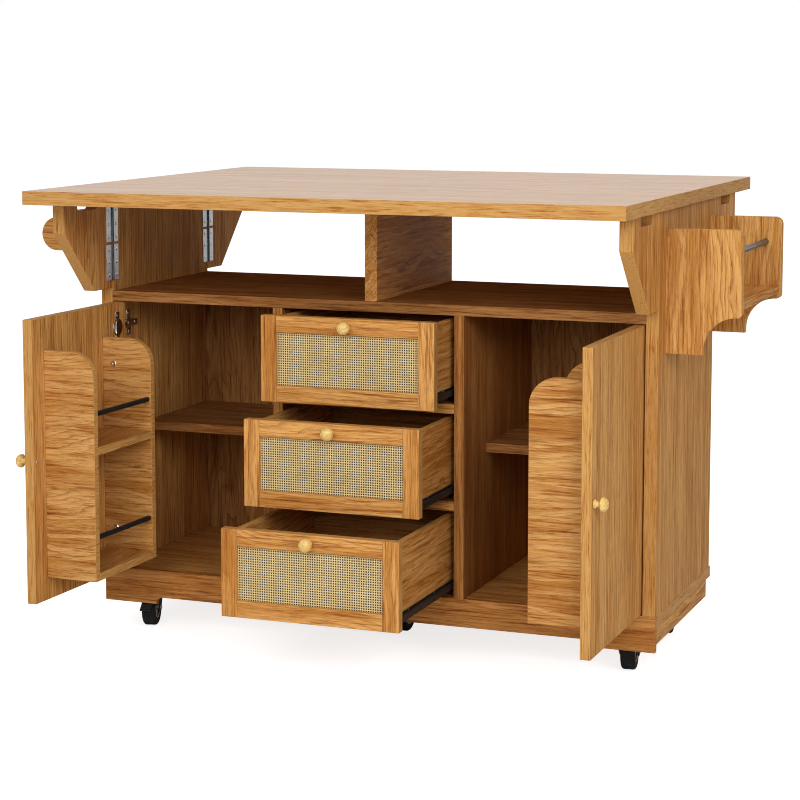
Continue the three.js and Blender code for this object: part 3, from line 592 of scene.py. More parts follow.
# %% Side panels, partitions, base panel
OUTER_X, INNER_X = 578.0, 553.0
BAY_X, PARTITION_X, PARTITION_BACK = 179.0, 199.0, 204
FRONT_Y, BACK_Y, BASE_SET_BACK = -218.0, 218.0, 12
BASE_UNDER, BASE_TOP, DECK_UNDER, TOP_UNDER = 107, 129.0, 678.0, 888.0
for side, sign in SIDES.items():
    board(f"side_board_{side}", ((sign * INNER_X, sign * OUTER_X), (FRONT_Y, BACK_Y), (BASE_TOP, TOP_UNDER)),
          ON_CARCASS, "z", "side", (f"side_panel_{side}",), figure=0.3, face="x")
    # The "partition" stain is painted shade: a darker copy of the oak inside the cupboards.
    board(f"partition_board_{side}", ((sign * BAY_X, sign * PARTITION_X), (FRONT_Y, PARTITION_BACK),
          (BASE_TOP, DECK_UNDER)), ON_CARCASS, "z", "partition", (f"partition_{side}",), figure=0.3)
board("base_board", ((-OUTER_X, OUTER_X), (FRONT_Y + BASE_SET_BACK, BACK_Y + BASE_SET_BACK),
      (BASE_UNDER, BASE_TOP)), ON_CARCASS, "x", replaces=("base_panel",), face="z")
print("panels built")

# %% [markdown]
# ## Worktop
# The fixed board and the two drop leaves are one continuous surface with two hair-thin seams.  Their
# coat is glossier than that of the carcass, and only their upper face has it: seen at a flat angle it
# mirrors the pale room, which is why the top looks so much lighter than its own edge.

# %% Worktop boards
TOP_X, MAIN_Y, SEAM, LEAF_DEPTH, TOP_Z = 590.0, 233.0, 1.5, 266.0, (TOP_UNDER, 914.0)


def coated_board(name, ys, body, node):
    """One board of the worktop, between two limits from front to back."""
    board(name, ((-TOP_X, TOP_X), ys, TOP_Z), (CARCASS, body), "x", "top", (node,), 0.6, "worktop",
          coat=0.55, face="z", coat_roughness=0.2)


coated_board("worktop_board", (-MAIN_Y, MAIN_Y), "carcass", "top_board")
for leaf, sign in ENDS.items():
    near = sign * (MAIN_Y + SEAM)
    coated_board(f"leaf_board_{leaf}", (near, near + sign * LEAF_DEPTH), f"leaf_{leaf}", f"drop_leaf_{leaf}")
print("worktop built")

# %% [markdown]
# ## Outlines
# Wings, rack sides and pressed steel parts are flat, with slants and round corners.  Each is drawn as
# an outline, point by point with arcs in between, and pushed through its thickness.  Cutting corners
# off a box would need more steps and leave worse faces.

# %% Outline helpers
def arc_points(centre, radius, start, stop, steps=10):
    """Points of an arc, with its angles in degrees."""
    angles = [math.radians(start + (stop - start) * i / steps) for i in range(steps + 1)]
    return [(centre[0] + radius * math.cos(a), centre[1] + radius * math.sin(a)) for a in angles]


def slab_mesh(outline, axis, start, thick, into=None):
    """An outline in the plane across an axis, pushed along that axis.  Points are (y, z), or (x, y)."""
    build = into or bmesh.new()
    put = {"x": lambda u, v, w: (w, u, v), "z": lambda u, v, w: (u, v, w)}[axis]
    near, far = ([build.verts.new(put(u, v, level)) for u, v in outline] for level in (start, start + thick))
    build.faces.new(near)
    build.faces.new(list(reversed(far)))
    for i in range(len(outline)):
        j = (i + 1) % len(outline)
        build.faces.new((near[i], far[i], far[j], near[j]))
    return build


print("outline helpers ready")

# %% [markdown]
# ## Folding wings
# Each wing is a board with a short nose, a long slant and a finger notch in its top edge.  Its outline
# is drawn once, for a wing that points to the back, and mirrored for the front pair.

# %% Wing boards
WING_NEAR, WING_FAR, WING_TOP, WING_LOW, WING_THICK = 219.0, 408.0, 887.2, 704.0, 25
FOOT_DEEP, NOSE_HIGH = 70, 60
NOTCH_START, NOTCH_END, NOTCH_DEEP, NOTCH_CORNER = 276.0, 356.0, 20, 8.0
WINGS = [(f"{along}_{side}", sx, sy) for along, sy in ENDS.items() for side, sx in SIDES.items()]


def wing_outline(sign):
    """Outline from the side; the sign is 1 for a wing that points to the back."""
    corner_z = WING_TOP - NOTCH_DEEP + NOTCH_CORNER
    points = [(WING_NEAR, WING_LOW), (WING_NEAR + FOOT_DEEP, WING_LOW), (WING_FAR, WING_TOP - NOSE_HIGH),
              (WING_FAR, WING_TOP), (NOTCH_END, WING_TOP)]
    points += arc_points((NOTCH_END - NOTCH_CORNER, corner_z), NOTCH_CORNER, 0, -90, 8)
    points += arc_points((NOTCH_START + NOTCH_CORNER, corner_z), NOTCH_CORNER, -90, -180, 8)
    points += [(NOTCH_START, WING_TOP), (WING_NEAR, WING_TOP)]
    return [(sign * y, z) for y, z in points]


for wing, sx, sy in WINGS:
    start = min(sx * INNER_X, sx * OUTER_X)
    finished(f"wing_board_{wing}", slab_mesh(wing_outline(sy), "x", start, WING_THICK),
             (CARCASS, f"wing_{wing}"), wood(f"wood_wing_{wing}", "z", face="x"), (f"wing_{wing}",))
print("wings built")

# %% [markdown]
# ## Turned shapes
# Pins, knobs, rods and wheels are round.  Like on a lathe, a profile is turned about an axis: every
# point of the profile becomes a ring of corners, and faces join each ring to the next.  A profile that
# ends where it starts becomes a closed ring, such as a tyre.

# %% Turned shapes
def bridge(build, a, b):
    """Faces between two rings; a ring of one point closes the shape."""
    steps = max(len(a), len(b))
    for i in range(steps):
        j = (i + 1) % steps
        if len(a) == 1:
            build.faces.new((a[0], b[i], b[j]))
        elif len(b) == 1:
            build.faces.new((a[i], a[j], b[0]))
        else:
            build.faces.new((a[i], a[j], b[j], b[i]))


def turned_mesh(profile, axis, centre, steps=40, into=None):
    """A profile of (radius, distance along the axis) turned about an axis through the centre."""
    build = into or bmesh.new()
    along = Vector([float(letter == axis) for letter in "xyz"])
    side = along.orthogonal().normalized()
    other = along.cross(side)
    angles = [2 * math.pi * i / steps for i in range(steps)]
    rings = []
    for radius, far in profile:
        middle = Vector(centre) + along * far
        rings.append([build.verts.new(middle + side * radius * math.cos(a) + other * radius * math.sin(a))
                      for a in (angles if radius else angles[:1])])
    for a, b in zip(rings, rings[1:]):
        bridge(build, a, b)
    if profile[0] == profile[-1]:
        bmesh.ops.remove_doubles(build, verts=rings[0] + rings[-1], dist=1e-4)
    else:
        for ring in (rings[0], rings[-1]):
            if len(ring) > 1:
                build.faces.new(ring)
    return build


print("turned shapes ready")

# %% [markdown]
# ## Butt hinges
# Two bright steel hinges join each wing to the carcass, and two join each leaf to the main board.  One
# leaf of a hinge has its plate and its knuckles; it is drawn about its own axis and then turned into
# place by three directions: along the plate, out of the wood, and along the pin.  The knuckles are a
# dark steel: painted shade along the pin.

# %% Hinge leaf
PLATE_X, PLATE_Y, BARREL_Y, BARREL_R = (2.9, 24), (-5.0, -2.8), -2.2, 2.5


def add_placed(build, matrix, into):
    """Moves a bmesh by a matrix and adds it to another one."""
    build.transform(matrix)
    copied = bpy.data.meshes.new("placed_part")
    build.to_mesh(copied)
    build.free()
    into.from_mesh(copied)
    bpy.data.meshes.remove(copied)


def hinge_leaf(length, moving, into, matrix):
    """Plate and knuckles of one leaf, each in its own bmesh, with the pin on the fixed leaf."""
    plates, barrels, axis = bmesh.new(), bmesh.new(), (0, BARREL_Y, 0)
    box_mesh(PLATE_X, PLATE_Y, (-length / 2, length / 2), plates)
    step = length / 3
    for i in ((1,) if moving else (0, 2)):
        low = -length / 2 + i * step + 0.2
        high = low + step - 0.4
        turned_mesh([(0, low), (1.9, low), (BARREL_R, low + 0.6), (BARREL_R, high - 0.6), (1.9, high),
                     (0, high)], "z", axis, 16, barrels)
        box_mesh((0, 3.2), (-4.6, -3.0), (low, high), barrels)
    if not moving:
        for end, out in ((-length / 2, -1), (length / 2, 1)):
            turned_mesh([(0, end - out), (1.8, end - out), (1.8, end + out * 0.4), (1.1, end + out * 1.0),
                         (0, end + out * 1.2)], "z", axis, 14, barrels)
    add_placed(plates, matrix, into[0])
    add_placed(barrels, matrix, into[1])


print("hinge leaf ready")

# %% [markdown]
# ## Notes of screws
# Screws hold the hinges, and further down the runners, racks and casters.  Each one is only noted
# here, with its place, direction and size.  All of them are made in one step near the end, so that
# every head is the same small mesh.

# %% Notes of screws
SCREWS = {}


def screw(carrier, point, direction, radius):
    """Remembers one screw, in the row frame, for the Geometry Nodes cell further down."""
    matrix, body = carrier
    outwards = (matrix.to_3x3() @ Vector(direction)).normalized()
    SCREWS.setdefault(body, []).append((matrix @ Vector(point), outwards, radius * MM))


print("screw notes ready")

# %% [markdown]
# ## Hinges in place
# The hinges of the wings stand upright on the inner faces of the side panels, and those of the leaves
# lie under the worktop.  The hinge leaves that stay on the carcass never move against each other, so
# they all become one piece.

# %% Hinges in place
SCREW_X, SCREW_Y, SCREW_SPREAD, HINGE_SCREW_R = 15.5, -2.75, 0.36, 3.4
WING_HINGE, LEAF_HINGE, PIN_OFF_WOOD = 72, 76, 4.8


def hinge(length, point, sign, off_wood, moving, body):
    """One butt hinge: a leaf on the carcass, a leaf on the moving body, and three screws in each."""
    for leaf, towards, holder in ((fixed, -sign, "carcass"), (moving, sign, body)):
        x, y = Vector((0, towards, 0)), Vector(off_wood)
        matrix = Matrix.Translation(point) @ Matrix((x, y, x.cross(y))).transposed().to_4x4()
        hinge_leaf(length, leaf is moving, leaf, matrix)
        for z in (-length * SCREW_SPREAD, 0, length * SCREW_SPREAD):
            screw((CARCASS @ matrix, holder), (SCREW_X, SCREW_Y, z), (0, 1, 0), HINGE_SCREW_R)


def hinge_pieces(name, body, into):
    finished(name, into[0], (CARCASS, body), STEEL, bevel=0.3)
    # The knuckles take the dark finish: painted shade along the pin.
    finished(name + "_knuckles", into[1], (CARCASS, body), KNUCKLE_SHADE, bevel=0.15)


fixed = (bmesh.new(), bmesh.new())
for wing, sx, sy in WINGS:
    moving = (bmesh.new(), bmesh.new())
    for height in (833.0, 756.0):
        hinge(WING_HINGE, (sx * (INNER_X - PIN_OFF_WOOD), sy * 218.5, height), sy, (-sx, 0, 0), moving,
              f"wing_{wing}")
    hinge_pieces(f"wing_hinge_{wing}", f"wing_{wing}", moving)
for leaf, sy in ENDS.items():
    moving = (bmesh.new(), bmesh.new())
    for x in (-300.0, 300.0):
        hinge(LEAF_HINGE, (x, sy * (MAIN_Y + SEAM / 2), TOP_UNDER - PIN_OFF_WOOD), sy, (0, 0, -1), moving,
              f"leaf_{leaf}")
    hinge_pieces(f"leaf_hinge_{leaf}", f"leaf_{leaf}", moving)
hinge_pieces("fixed_hinge_leaves", "carcass", fixed)
print("hinges built")

# %% [markdown]
# ## Doors
# Both doors stand open, one a little further than the other.  A door is drawn shut, with its length
# along X and its hinge axis at the origin, and its frame turns it open.  The right one is the mirror
# image of the left one, so distances across a door are counted from its hinge edge.

# %% Door boards
DOOR_LONG, DOOR_LOW, DOOR_HIGH, DOOR_FACE = 349.5, 131.0, 676.0, 13.0
AXIS_X, AXIS_Y, AXIS_IN = INNER_X - 9, FRONT_Y + 6, 6
OPENED = {"left": 92.0, "right": 90.0}
DOORS = {side: (local_frame(sign * AXIS_X, AXIS_Y, 0, sign * OPENED[side]), f"door_{side}")
         for side, sign in SIDES.items()}


def span(side, *distances):
    """Places across a door, given as distances from its hinge edge."""
    return [-SIDES[side] * (distance - AXIS_IN) for distance in distances]


for side, carrier in DOORS.items():
    board(f"door_board_{side}", (span(side, 0, DOOR_LONG), (-AXIS_IN, DOOR_FACE), (DOOR_LOW, DOOR_HIGH)),
          carrier, "z", "side", (f"door_{side}",), figure=0.3, face="x")
print("doors built")

# %% [markdown]
# ## Door racks
# Each door carries a rack: two upright boards with a rounded corner, two shelves between them, and two
# black rods that keep bottles in.  The uprights need the corner, so they are outlines pushed through
# their thickness, and the rest are plain boards and rods.

# %% Door racks
def rod_mesh(radius, start, stop, axis, centre):
    """A round rod with slightly eased ends."""
    ease = min(0.6, radius / 4)
    return turned_mesh([(radius - ease, start), (radius, start + ease), (radius, stop - ease),
                        (radius - ease, stop)], axis, centre, 28)


RACK_FACE, RACK_DEEP, RACK_THICK = DOOR_FACE + 0.3, 108, 15
RACK_LOW, RACK_HIGH, RACK_CORNER = 175, 614, 50
RACK_OUTLINE = [
    (RACK_FACE, RACK_LOW), (RACK_FACE + RACK_DEEP, RACK_LOW),
    *arc_points((RACK_FACE + RACK_DEEP - RACK_CORNER, RACK_HIGH - RACK_CORNER), RACK_CORNER, 0, 90, 14),
    (RACK_FACE, RACK_HIGH)]
for side, carrier in DOORS.items():
    for upright, near, replaced in (("hinge", 76.0, (f"door_rack_{side}",)), ("free", 293.0, ())):
        start = min(span(side, near, near + RACK_THICK))
        finished(f"rack_side_{upright}_{side}", slab_mesh(RACK_OUTLINE, "x", start, RACK_THICK), carrier,
                 wood(f"wood_rack_{upright}_{side}", "x", "rack", face="y"), replaced)
    for shelf, near, far, top in (("bottom", 91.2, 292.8, 190.0), ("middle", 91.0, 293.0, 432.0)):
        board(f"rack_shelf_{shelf}_{side}", (span(side, near, far), (RACK_FACE, RACK_FACE + RACK_DEEP),
              (top - RACK_THICK, top)), carrier, "y", "rack", face="z")
    for rod, height in (("lower", 257.0), ("upper", 495.0)):
        finished(f"rack_rod_{rod}_{side}", rod_mesh(5, *sorted(span(side, 90.5, 293.5)), "x",
                 (0, RACK_FACE + 100, height)), carrier, ROD_BLACK, bevel=0)
print("racks built")

# %% [markdown]
# ## Cup hinges
# Each door hangs on two concealed hinges: a polished cup sunk in the door with its two-eared flange,
# and a cranked arm that steps out from a mounting plate on the side panel.  The cup rides on the door
# and the arm stays on the carcass.

# %% Cup hinge pieces
CUP_AWAY, FROM_DOOR_END = 33.0, 49


def around(middle, half):
    """Two limits on both sides of a middle."""
    return (middle - half, middle + half)


def cup_mesh(side, height):
    """Flange, cup rim and dish of one hinge cup, on the door's inner face."""
    middle, = span(side, CUP_AWAY)
    build = turned_mesh([(0, 0.6), (12.4, 0.6), (14.6, 2.0), (17.4, 2.4), (17.4, -0.8), (0, -0.8)], "y",
                        (middle, DOOR_FACE, height))
    for z in (height - 24, height + 24):
        box_mesh(around(middle, 7), (DOOR_FACE - 0.5, DOOR_FACE + 1.6), around(z, 7), build)
        screw(DOORS[side], (middle, DOOR_FACE + 1.6, z), (0, 1, 0), 3.4)
    return box_mesh(around(middle, 5), (DOOR_FACE - 0.5, DOOR_FACE + 1.5), around(height, 20), build)


def arm_mesh(side, height):
    """Cranked arm, its side flanges and the mounting plate, on the side panel."""
    sign = SIDES[side]
    outline = arc_points((0, 0), 3.2, 135, 405)
    outline += [(8.2, 14), (9.4, 20), (7.6, 25), (2, 29), (-0.5, 34), (-0.5, 84), (-4, 84), (-4, 33),
                (-1, 25), (3.0, 20), (1.5, 14)]
    build = slab_mesh([(sign * (AXIS_X - x), AXIS_Y + y) for x, y in outline], "z", height - 6, 12)
    for near, far, start, stop, half in ((-0.2, 3, 40, 80, 7), (-0.2, 2, 50, 66, 26), (2.5, 6, 36, 82, 4.5)):
        box_mesh((sign * (INNER_X - near), sign * (INNER_X - far)), (AXIS_Y + start, AXIS_Y + stop),
                 around(height, half), build)
    for y, z, off in ((58, 19, 2), (58, -19, 2), (48, 0, 8.6), (74, 0, 8.6)):
        screw(ON_CARCASS, (sign * (INNER_X - off), AXIS_Y + y, height + z), (-sign, 0, 0), 3.6)
    return build


for side, carrier in DOORS.items():
    for end, height in (("lower", DOOR_LOW + FROM_DOOR_END), ("upper", DOOR_HIGH - FROM_DOOR_END)):
        finished(f"hinge_cup_{end}_{side}", cup_mesh(side, height), carrier, CHROME, bevel=0.35)
        finished(f"hinge_arm_{end}_{side}", arm_mesh(side, height), ON_CARCASS, CHROME, bevel=0.35)
print("cup hinges built")

# %% [markdown]
# ## Drawers
# A drawer front is a frame of two upright stiles and two rails, with cane behind its window.  The box
# behind it has thin sides, a front and back wall, and a bottom in a groove.  The three drawers are
# alike and stand out by different amounts.

# %% Drawer fronts and boxes
PULLED_OUT, PITCH = {"bottom": 288.0, "middle": 185.0, "top": 105.0}, 189.0
FRONT_HALF, FRONT_LOW, FRONT_HIGH, BORDER, FRONT_THICK = 177.0, 2.0, 169.0, 32.0, 19.0
BOX_HALF, BOX_LOW, BOX_HIGH, BOX_LONG, WALL, HAIR = 167.0, 13.0, 161.0, 380.0, 12.0, 0.1
FLOOR_Z, BOX_Z, FRONT_Z = (23, 29), (BOX_LOW, BOX_HIGH), (FRONT_LOW, FRONT_HIGH)
DRAWERS = {name: (local_frame(0, FRONT_Y - pulled, BASE_TOP + i * PITCH), f"drawer_{name}")
           for i, (name, pulled) in enumerate(PULLED_OUT.items())}
inner, within = FRONT_HALF - BORDER - HAIR, BOX_HALF - WALL - 2 * HAIR
near, far = FRONT_THICK + 2 * HAIR, FRONT_THICK + BOX_LONG
for name, carrier in DRAWERS.items():
    for end, sign in SIDES.items():
        board(f"stile_{end}_{name}", ((sign * (FRONT_HALF - BORDER + HAIR), sign * FRONT_HALF),
              (0, FRONT_THICK), FRONT_Z), carrier, "z",
              replaces=(f"drawer_front_{name}",) if end == "left" else (), bevel=0.7, face="y")
    for end, low in (("lower", FRONT_LOW), ("upper", FRONT_HIGH - BORDER)):
        board(f"rail_{end}_{name}", ((-inner, inner), (0, FRONT_THICK), (low, low + BORDER)), carrier, "x",
              bevel=0.7, face="y")
    for end, sign in SIDES.items():
        board(f"box_side_{end}_{name}", ((sign * (BOX_HALF - WALL), sign * BOX_HALF), (near, far), BOX_Z),
              carrier, "y", replaces=(f"drawer_box_{name}",) if end == "left" else (), bevel=0.6, face="x")
    # The box walls and floor take the "inside" stain: painted shade, a darker copy of the oak.
    for end, start in (("front", near), ("back", far - WALL)):
        board(f"box_{end}_{name}", ((-within, within), (start, start + WALL), BOX_Z), carrier, "x", "inside",
              bevel=0.6, face="y")
    board(f"box_floor_{name}", ((-within, within), (near + WALL, far - WALL), FLOOR_Z), carrier, "y",
          "inside", bevel=0, face="z")
print("drawers built")

# %% [markdown]
# ## Runners
# Each drawer rides on two black steel runners: a flanged strip with a tongue on the box, and a channel
# on the partition.  Both are folded sheet steel, so thin boxes are enough for them.

# %% Runner strips
RUNNER_LONG, RUNNER_LOW, RUNNER_SET_BACK = 350, 13, 28
along = (FRONT_THICK + 0.3, FRONT_THICK + RUNNER_LONG)
channel_y = (FRONT_Y + RUNNER_SET_BACK, FRONT_Y + RUNNER_SET_BACK + RUNNER_LONG)
channels = bmesh.new()
for index, (name, carrier) in enumerate(DRAWERS.items()):
    strips, channel_z = bmesh.new(), BASE_TOP + index * PITCH + RUNNER_LOW
    for sign in SIDES.values():
        for a, b, zs in ((BOX_HALF - 0.5, BOX_HALF + 1.4, (13, 31)),
                         (BOX_HALF - 0.5, BAY_X - 3.6, (16.4, 27.6)),
                         (BOX_HALF - 9, BOX_HALF + 1.2, (11.8, 13.1))):
            box_mesh((sign * a, sign * b), along, zs, strips)
        for y in (55, 190, 325):
            screw(carrier, (sign * (BOX_HALF + 1.4), FRONT_THICK + y, 29), (sign, 0, 0), 2.4)
        for z in (50, 128):
            screw(carrier, (sign * BOX_HALF, FRONT_THICK + 12, z), (sign, 0, 0), 4.5)
        for a, b, low, high in ((0.4, -2.4, 0, 18), (-2, -7, 0, 3), (-2, -7, 15, 18)):
            box_mesh((sign * (BAY_X + a), sign * (BAY_X + b)), channel_y, (channel_z + low, channel_z + high),
                     channels)
    finished(f"runner_strips_{name}", strips, carrier, RUNNER_BLACK, bevel=0.3)
finished("runner_channels", channels, ON_CARCASS, RUNNER_BLACK, bevel=0.3)
print("runners built")

# %% [markdown]
# ## Woven cane
# The window of each drawer is filled with cane: flat strands that pass over and under each other and
# leave a small square hole at every crossing.  Its shape follows one rule, so Geometry Nodes weave it.
# A single strand is a line whose height swings like a sine wave, swept with a flat profile, and one
# strand is repeated side by side at twice the pitch.

# %% Geometry Nodes: strands
def vector(tree, **parts):
    """A vector with the given parts, named X, Y or Z, and 0 for the rest."""
    return result_of(tree, "ShaderNodeCombineXYZ", parts)


def strand_set(tree, inputs, length, width, phase, turn):
    """Every other strand along X, all with the same phase, turned about Z as a whole."""
    pitch, half = inputs["Pitch"], length * 0.5
    line = result_of(tree, "GeometryNodeCurvePrimitiveLine", {
        "Start": vector(tree, X=half * -1.0), "End": vector(tree, X=half)})
    points = result_of(tree, "GeometryNodeResampleCurve", {
        "Curve": line, "Count": length / pitch * 2.0 + 1.0})
    position = result_of(tree, "GeometryNodeInputPosition")
    from_end = result_of(tree, "ShaderNodeSeparateXYZ", {0: position}, "X") + half
    lift = (from_end / pitch * math.pi + phase).math("SINE") * inputs["Swing"]
    swung = result_of(tree, "GeometryNodeSetPosition", {"Geometry": points, "Offset": vector(tree, Z=lift)})
    upright = result_of(tree, "GeometryNodeSetCurveNormal", {"Curve": swung}, mode="Z_UP")
    profile = result_of(tree, "GeometryNodeCurvePrimitiveQuadrilateral", {
        "Width": inputs["Strand Width"], "Height": inputs["Strand Thickness"]})
    strand = result_of(tree, "GeometryNodeCurveToMesh", {
        "Curve": upright, "Profile Curve": profile, "Fill Caps": True})
    first = pitch * (0.5 if phase < 1 else 1.5) - width * 0.5
    rows = result_of(tree, "GeometryNodeMeshLine", {
        "Count": width / pitch / 2.0, "Start Location": vector(tree, Y=first),
        "Offset": vector(tree, Y=pitch * 2.0)})
    placed = result_of(tree, "GeometryNodeInstanceOnPoints", {"Points": rows, "Instance": strand})
    return result_of(tree, "GeometryNodeTransform", {"Geometry": placed, "Rotation": (0, 0, turn)})


print("strand helper ready")

# %% [markdown]
# ## The weave as a whole
# Even and odd strands swing in opposite phase, and so do the two directions, so four sets of strands
# make the cloth.  The tree is run on an empty mesh, and its result is kept as a plain mesh, which can
# ride on a drawer like every other piece.

# %% Geometry Nodes: the weave
def covered(tree, geometry, material):
    """The end of a tree: makes the instances real and gives the mesh its material."""
    realized = result_of(tree, "GeometryNodeRealizeInstances", {0: geometry})
    dressed = result_of(tree, "GeometryNodeSetMaterial", {"Geometry": realized, "Material": material})
    add_node(tree, "NodeGroupOutput", {0: dressed})
    return tree


def weave_tree():
    """Four sets of strands: two directions, each with two phases."""
    tree, inputs = new_tree("cane_weave", "Geometry", {
        "Geometry": "Geometry", "Width": "Float", "Height": "Float", "Pitch": "Float",
        "Strand Width": "Float", "Strand Thickness": "Float", "Swing": "Float", "Material": "Material"},
        {"Geometry": "Geometry"})
    joined = add_node(tree, "GeometryNodeJoinGeometry")
    for length, width, turn in (("Width", "Height", 0), ("Height", "Width", math.pi / 2)):
        for phase in (0.0, math.pi):
            connect(tree, joined, {0: strand_set(tree, inputs, inputs[length], inputs[width], phase, turn)})
    return covered(tree, joined.outputs[0], inputs["Material"])


def nodes_result(name, tree, values, start_mesh=None):
    """Runs a Geometry Nodes tree on a mesh and returns the result as a plain object."""
    holder = add_object(name + "_source", start_mesh or bpy.data.meshes.new(name + "_empty"))
    modifier = holder.modifiers.new("nodes", "NODES")
    modifier.node_group = tree
    for item in tree.interface.items_tree:
        if item.in_out == "INPUT" and item.name in values:
            modifier[item.identifier] = values[item.name]
    evaluated = holder.evaluated_get(bpy.context.evaluated_depsgraph_get())
    mesh = bpy.data.meshes.new_from_object(evaluated)
    mesh.name = name
    holder.modifiers.clear()
    bpy.data.objects.remove(holder)
    return add_object(name, mesh)


WEAVE = weave_tree()
print("weave tree", len(WEAVE.nodes), "nodes")

# %% [markdown]
# ## Cane panels
# Cane has a soft gloss, thin fibres and patches of a darker yellow.  The tree weaves a panel lying
# flat, and a matrix stands it up in the window.  Behind it a thin dark sheet paints the shade of the
# drawer, which shows through the holes as a dark brown.

# %% Cane material and panels
CANE_TONES = ((0.35, (0.66, 0.485, 0.225)), (0.52, (0.71, 0.55, 0.275)), (0.68, (0.76, 0.61, 0.325)))
CANE_COLUMNS, CANE_ROWS, CANE_PITCH = 64, 24, 4.6
CANE_Y, SHADE_SHEET_Y = 7.9, (8.8, 9.2)


def cane_material():
    material, tree, surface = new_material("woven_cane")
    position = result_of(tree, "ShaderNodeTexCoord", output="Object")
    fibres = noise(tree, stretched(tree, position, (900.0, 900.0, 900.0)), 1.0, 2.0)
    colour = ramp(tree, noise(tree, position, 28.0, 3.0) * 0.6 + fibres * 0.4, *CANE_TONES)
    relief = result_of(tree, "ShaderNodeBump", {"Strength": 0.3, "Distance": 0.0002, "Height": fibres})
    connect(tree, surface, {"Base Color": colour, "Roughness": fibres * 0.2 + 0.42, "Normal": relief})
    return material


CANE = cane_material()
# A near-black sheet behind the weave: painted shade of the drawer seen through the holes.
SHADE_SHEET = uneven("cane_painted_shade_sheet", (0.035, 0.02, 0.009), (0.05, 0.03, 0.014), 0.9, 0.1)
inner, middle = FRONT_HALF - BORDER + 3, (FRONT_LOW + FRONT_HIGH) / 2
stand_up = (Matrix.Scale(1 / MM, 4) @ Matrix.Translation((0, CANE_Y * MM, middle * MM))
            @ Matrix.Rotation(math.pi / 2, 4, "X"))
for name, carrier in DRAWERS.items():
    panel = nodes_result(f"cane_weave_{name}", WEAVE, {
        "Width": CANE_COLUMNS * CANE_PITCH * MM, "Height": CANE_ROWS * CANE_PITCH * MM, "Material": CANE,
        "Pitch": CANE_PITCH * MM, "Strand Width": 1.95 * MM, "Strand Thickness": 0.5 * MM, "Swing": 0.3 * MM})
    panel.data.transform(carrier[0] @ stand_up)
    finished(f"cane_backing_{name}", box_mesh((-inner, inner), SHADE_SHEET_Y, around(middle, 54)), carrier,
             SHADE_SHEET, bevel=0)
    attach(panel, f"drawer_{name}")
    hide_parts(f"cane_panel_{name}")
    print(panel.name, len(panel.data.polygons), "faces")

# %% [markdown]
# ## Knobs
# Small turned knobs of pale wood: a foot disc, a thin waist and a rounded cap.  They are solids of
# revolution with a smooth profile, and their grain runs through them from front to back.  The screws
# that hold the door knobs and the racks are noted here too.

# %% Knobs
BIRCH = wood("wood_knobs", "y", "birch", coat=0.5, wear_and_highlight=0.1)
KNOB_IN, DOOR_KNOB_Z, RACK_SCREWS_Z = 13, 404, (562, 232)
KNOB_PROFILE = [
    (0, 0), (7.4, 0), (8.2, 0.8), (8.2, 2.4), (7.2, 3.6), (5.6, 5.2), (4.9, 7.4), (5.4, 9.6), (8.0, 11.4),
    (11.0, 12.6), (12.8, 14.2),
    *((13 * math.cos(a), 15.6 + 10.4 * math.sin(a)) for a in (i * math.pi / 2 / 9 for i in range(1, 9))),
    (0, 26)]


def knob(name, carrier, x, foot, z, node):
    """A knob that points forwards from its foot."""
    profile = [(radius, foot - far) for radius, far in KNOB_PROFILE]
    finished(name, turned_mesh(profile, "y", (x, 0, z), 36), carrier, BIRCH, (node,), 0)


for name, carrier in DRAWERS.items():
    knob(f"knob_{name}", carrier, 0, -0.3, FRONT_HIGH - BORDER / 2, f"drawer_knob_{name}")
for side, carrier in DOORS.items():
    knob_x, rack_x = span(side, DOOR_LONG - KNOB_IN, 91)
    knob(f"knob_door_{side}", carrier, knob_x, -AXIS_IN - 0.3, DOOR_KNOB_Z, f"door_knob_{side}")
    screw(carrier, (knob_x, DOOR_FACE, DOOR_KNOB_Z), (0, 1, 0), 3.8)
    for z in RACK_SCREWS_Z:
        screw(carrier, (rack_x, RACK_FACE + 24, z), (-SIDES[side], 0, 0), 6.5)
print("knobs built")

# %% [markdown]
# ## Rods of the end racks
# The spice rack on the right and the towel rail on the left each have one dark steel rod between their
# two brackets.  The rods stay round solids with eased ends, like the rods of the door racks.

# %% End rods
ROD_START, ROD_LONG = -163, 359
for name, x, z, radius in (("spice_rod", 689, 803, 6), ("towel_rod", -706, 805, 8)):
    finished(name + "_round", rod_mesh(radius, ROD_START, ROD_START + ROD_LONG, "y", (x, 0, z)), ON_CARCASS,
             ROD_GREY, (name,), 0)
print("rods built")

# %% [markdown]
# ## Casters
# A swivel caster is a plate screwed under the base, a ball race, a pressed fork whose wheel trails
# behind the kingpin, and a wheel with a rubber tread round a bright spoked hub.  Everything is drawn
# in the caster's own frame, whose Y axis points from the kingpin to the wheel.  The wheel comes first:
# it is all turned, apart from its spokes.

# %% Wheels
WHEEL_R, WHEEL_HALF, HUB_R, TRAIL = 37.5, 14.0, 19.0, 16.0
AXLE = (0, TRAIL, WHEEL_R)


def tyre_mesh():
    """Tread and shoulders of the wheel, with a shallow groove round the middle."""
    bore, shoulder = HUB_R + 4.5, 6
    profile = [(bore, -WHEEL_HALF + 0.2), (HUB_R + 6, -WHEEL_HALF)]
    profile += [(WHEEL_R - shoulder + shoulder * math.sin(a), -WHEEL_HALF + shoulder - shoulder * math.cos(a))
                for a in (i * math.pi / 2 / 6 for i in range(7))]
    profile += [(WHEEL_R, -1.2), (WHEEL_R - 0.5, -0.6)]
    profile += [(radius, -far) for radius, far in reversed(profile)]
    profile += [(bore, WHEEL_HALF - 3.8), (bore, -WHEEL_HALF + 3.8), profile[0]]
    return turned_mesh(profile, "x", AXLE, 56)


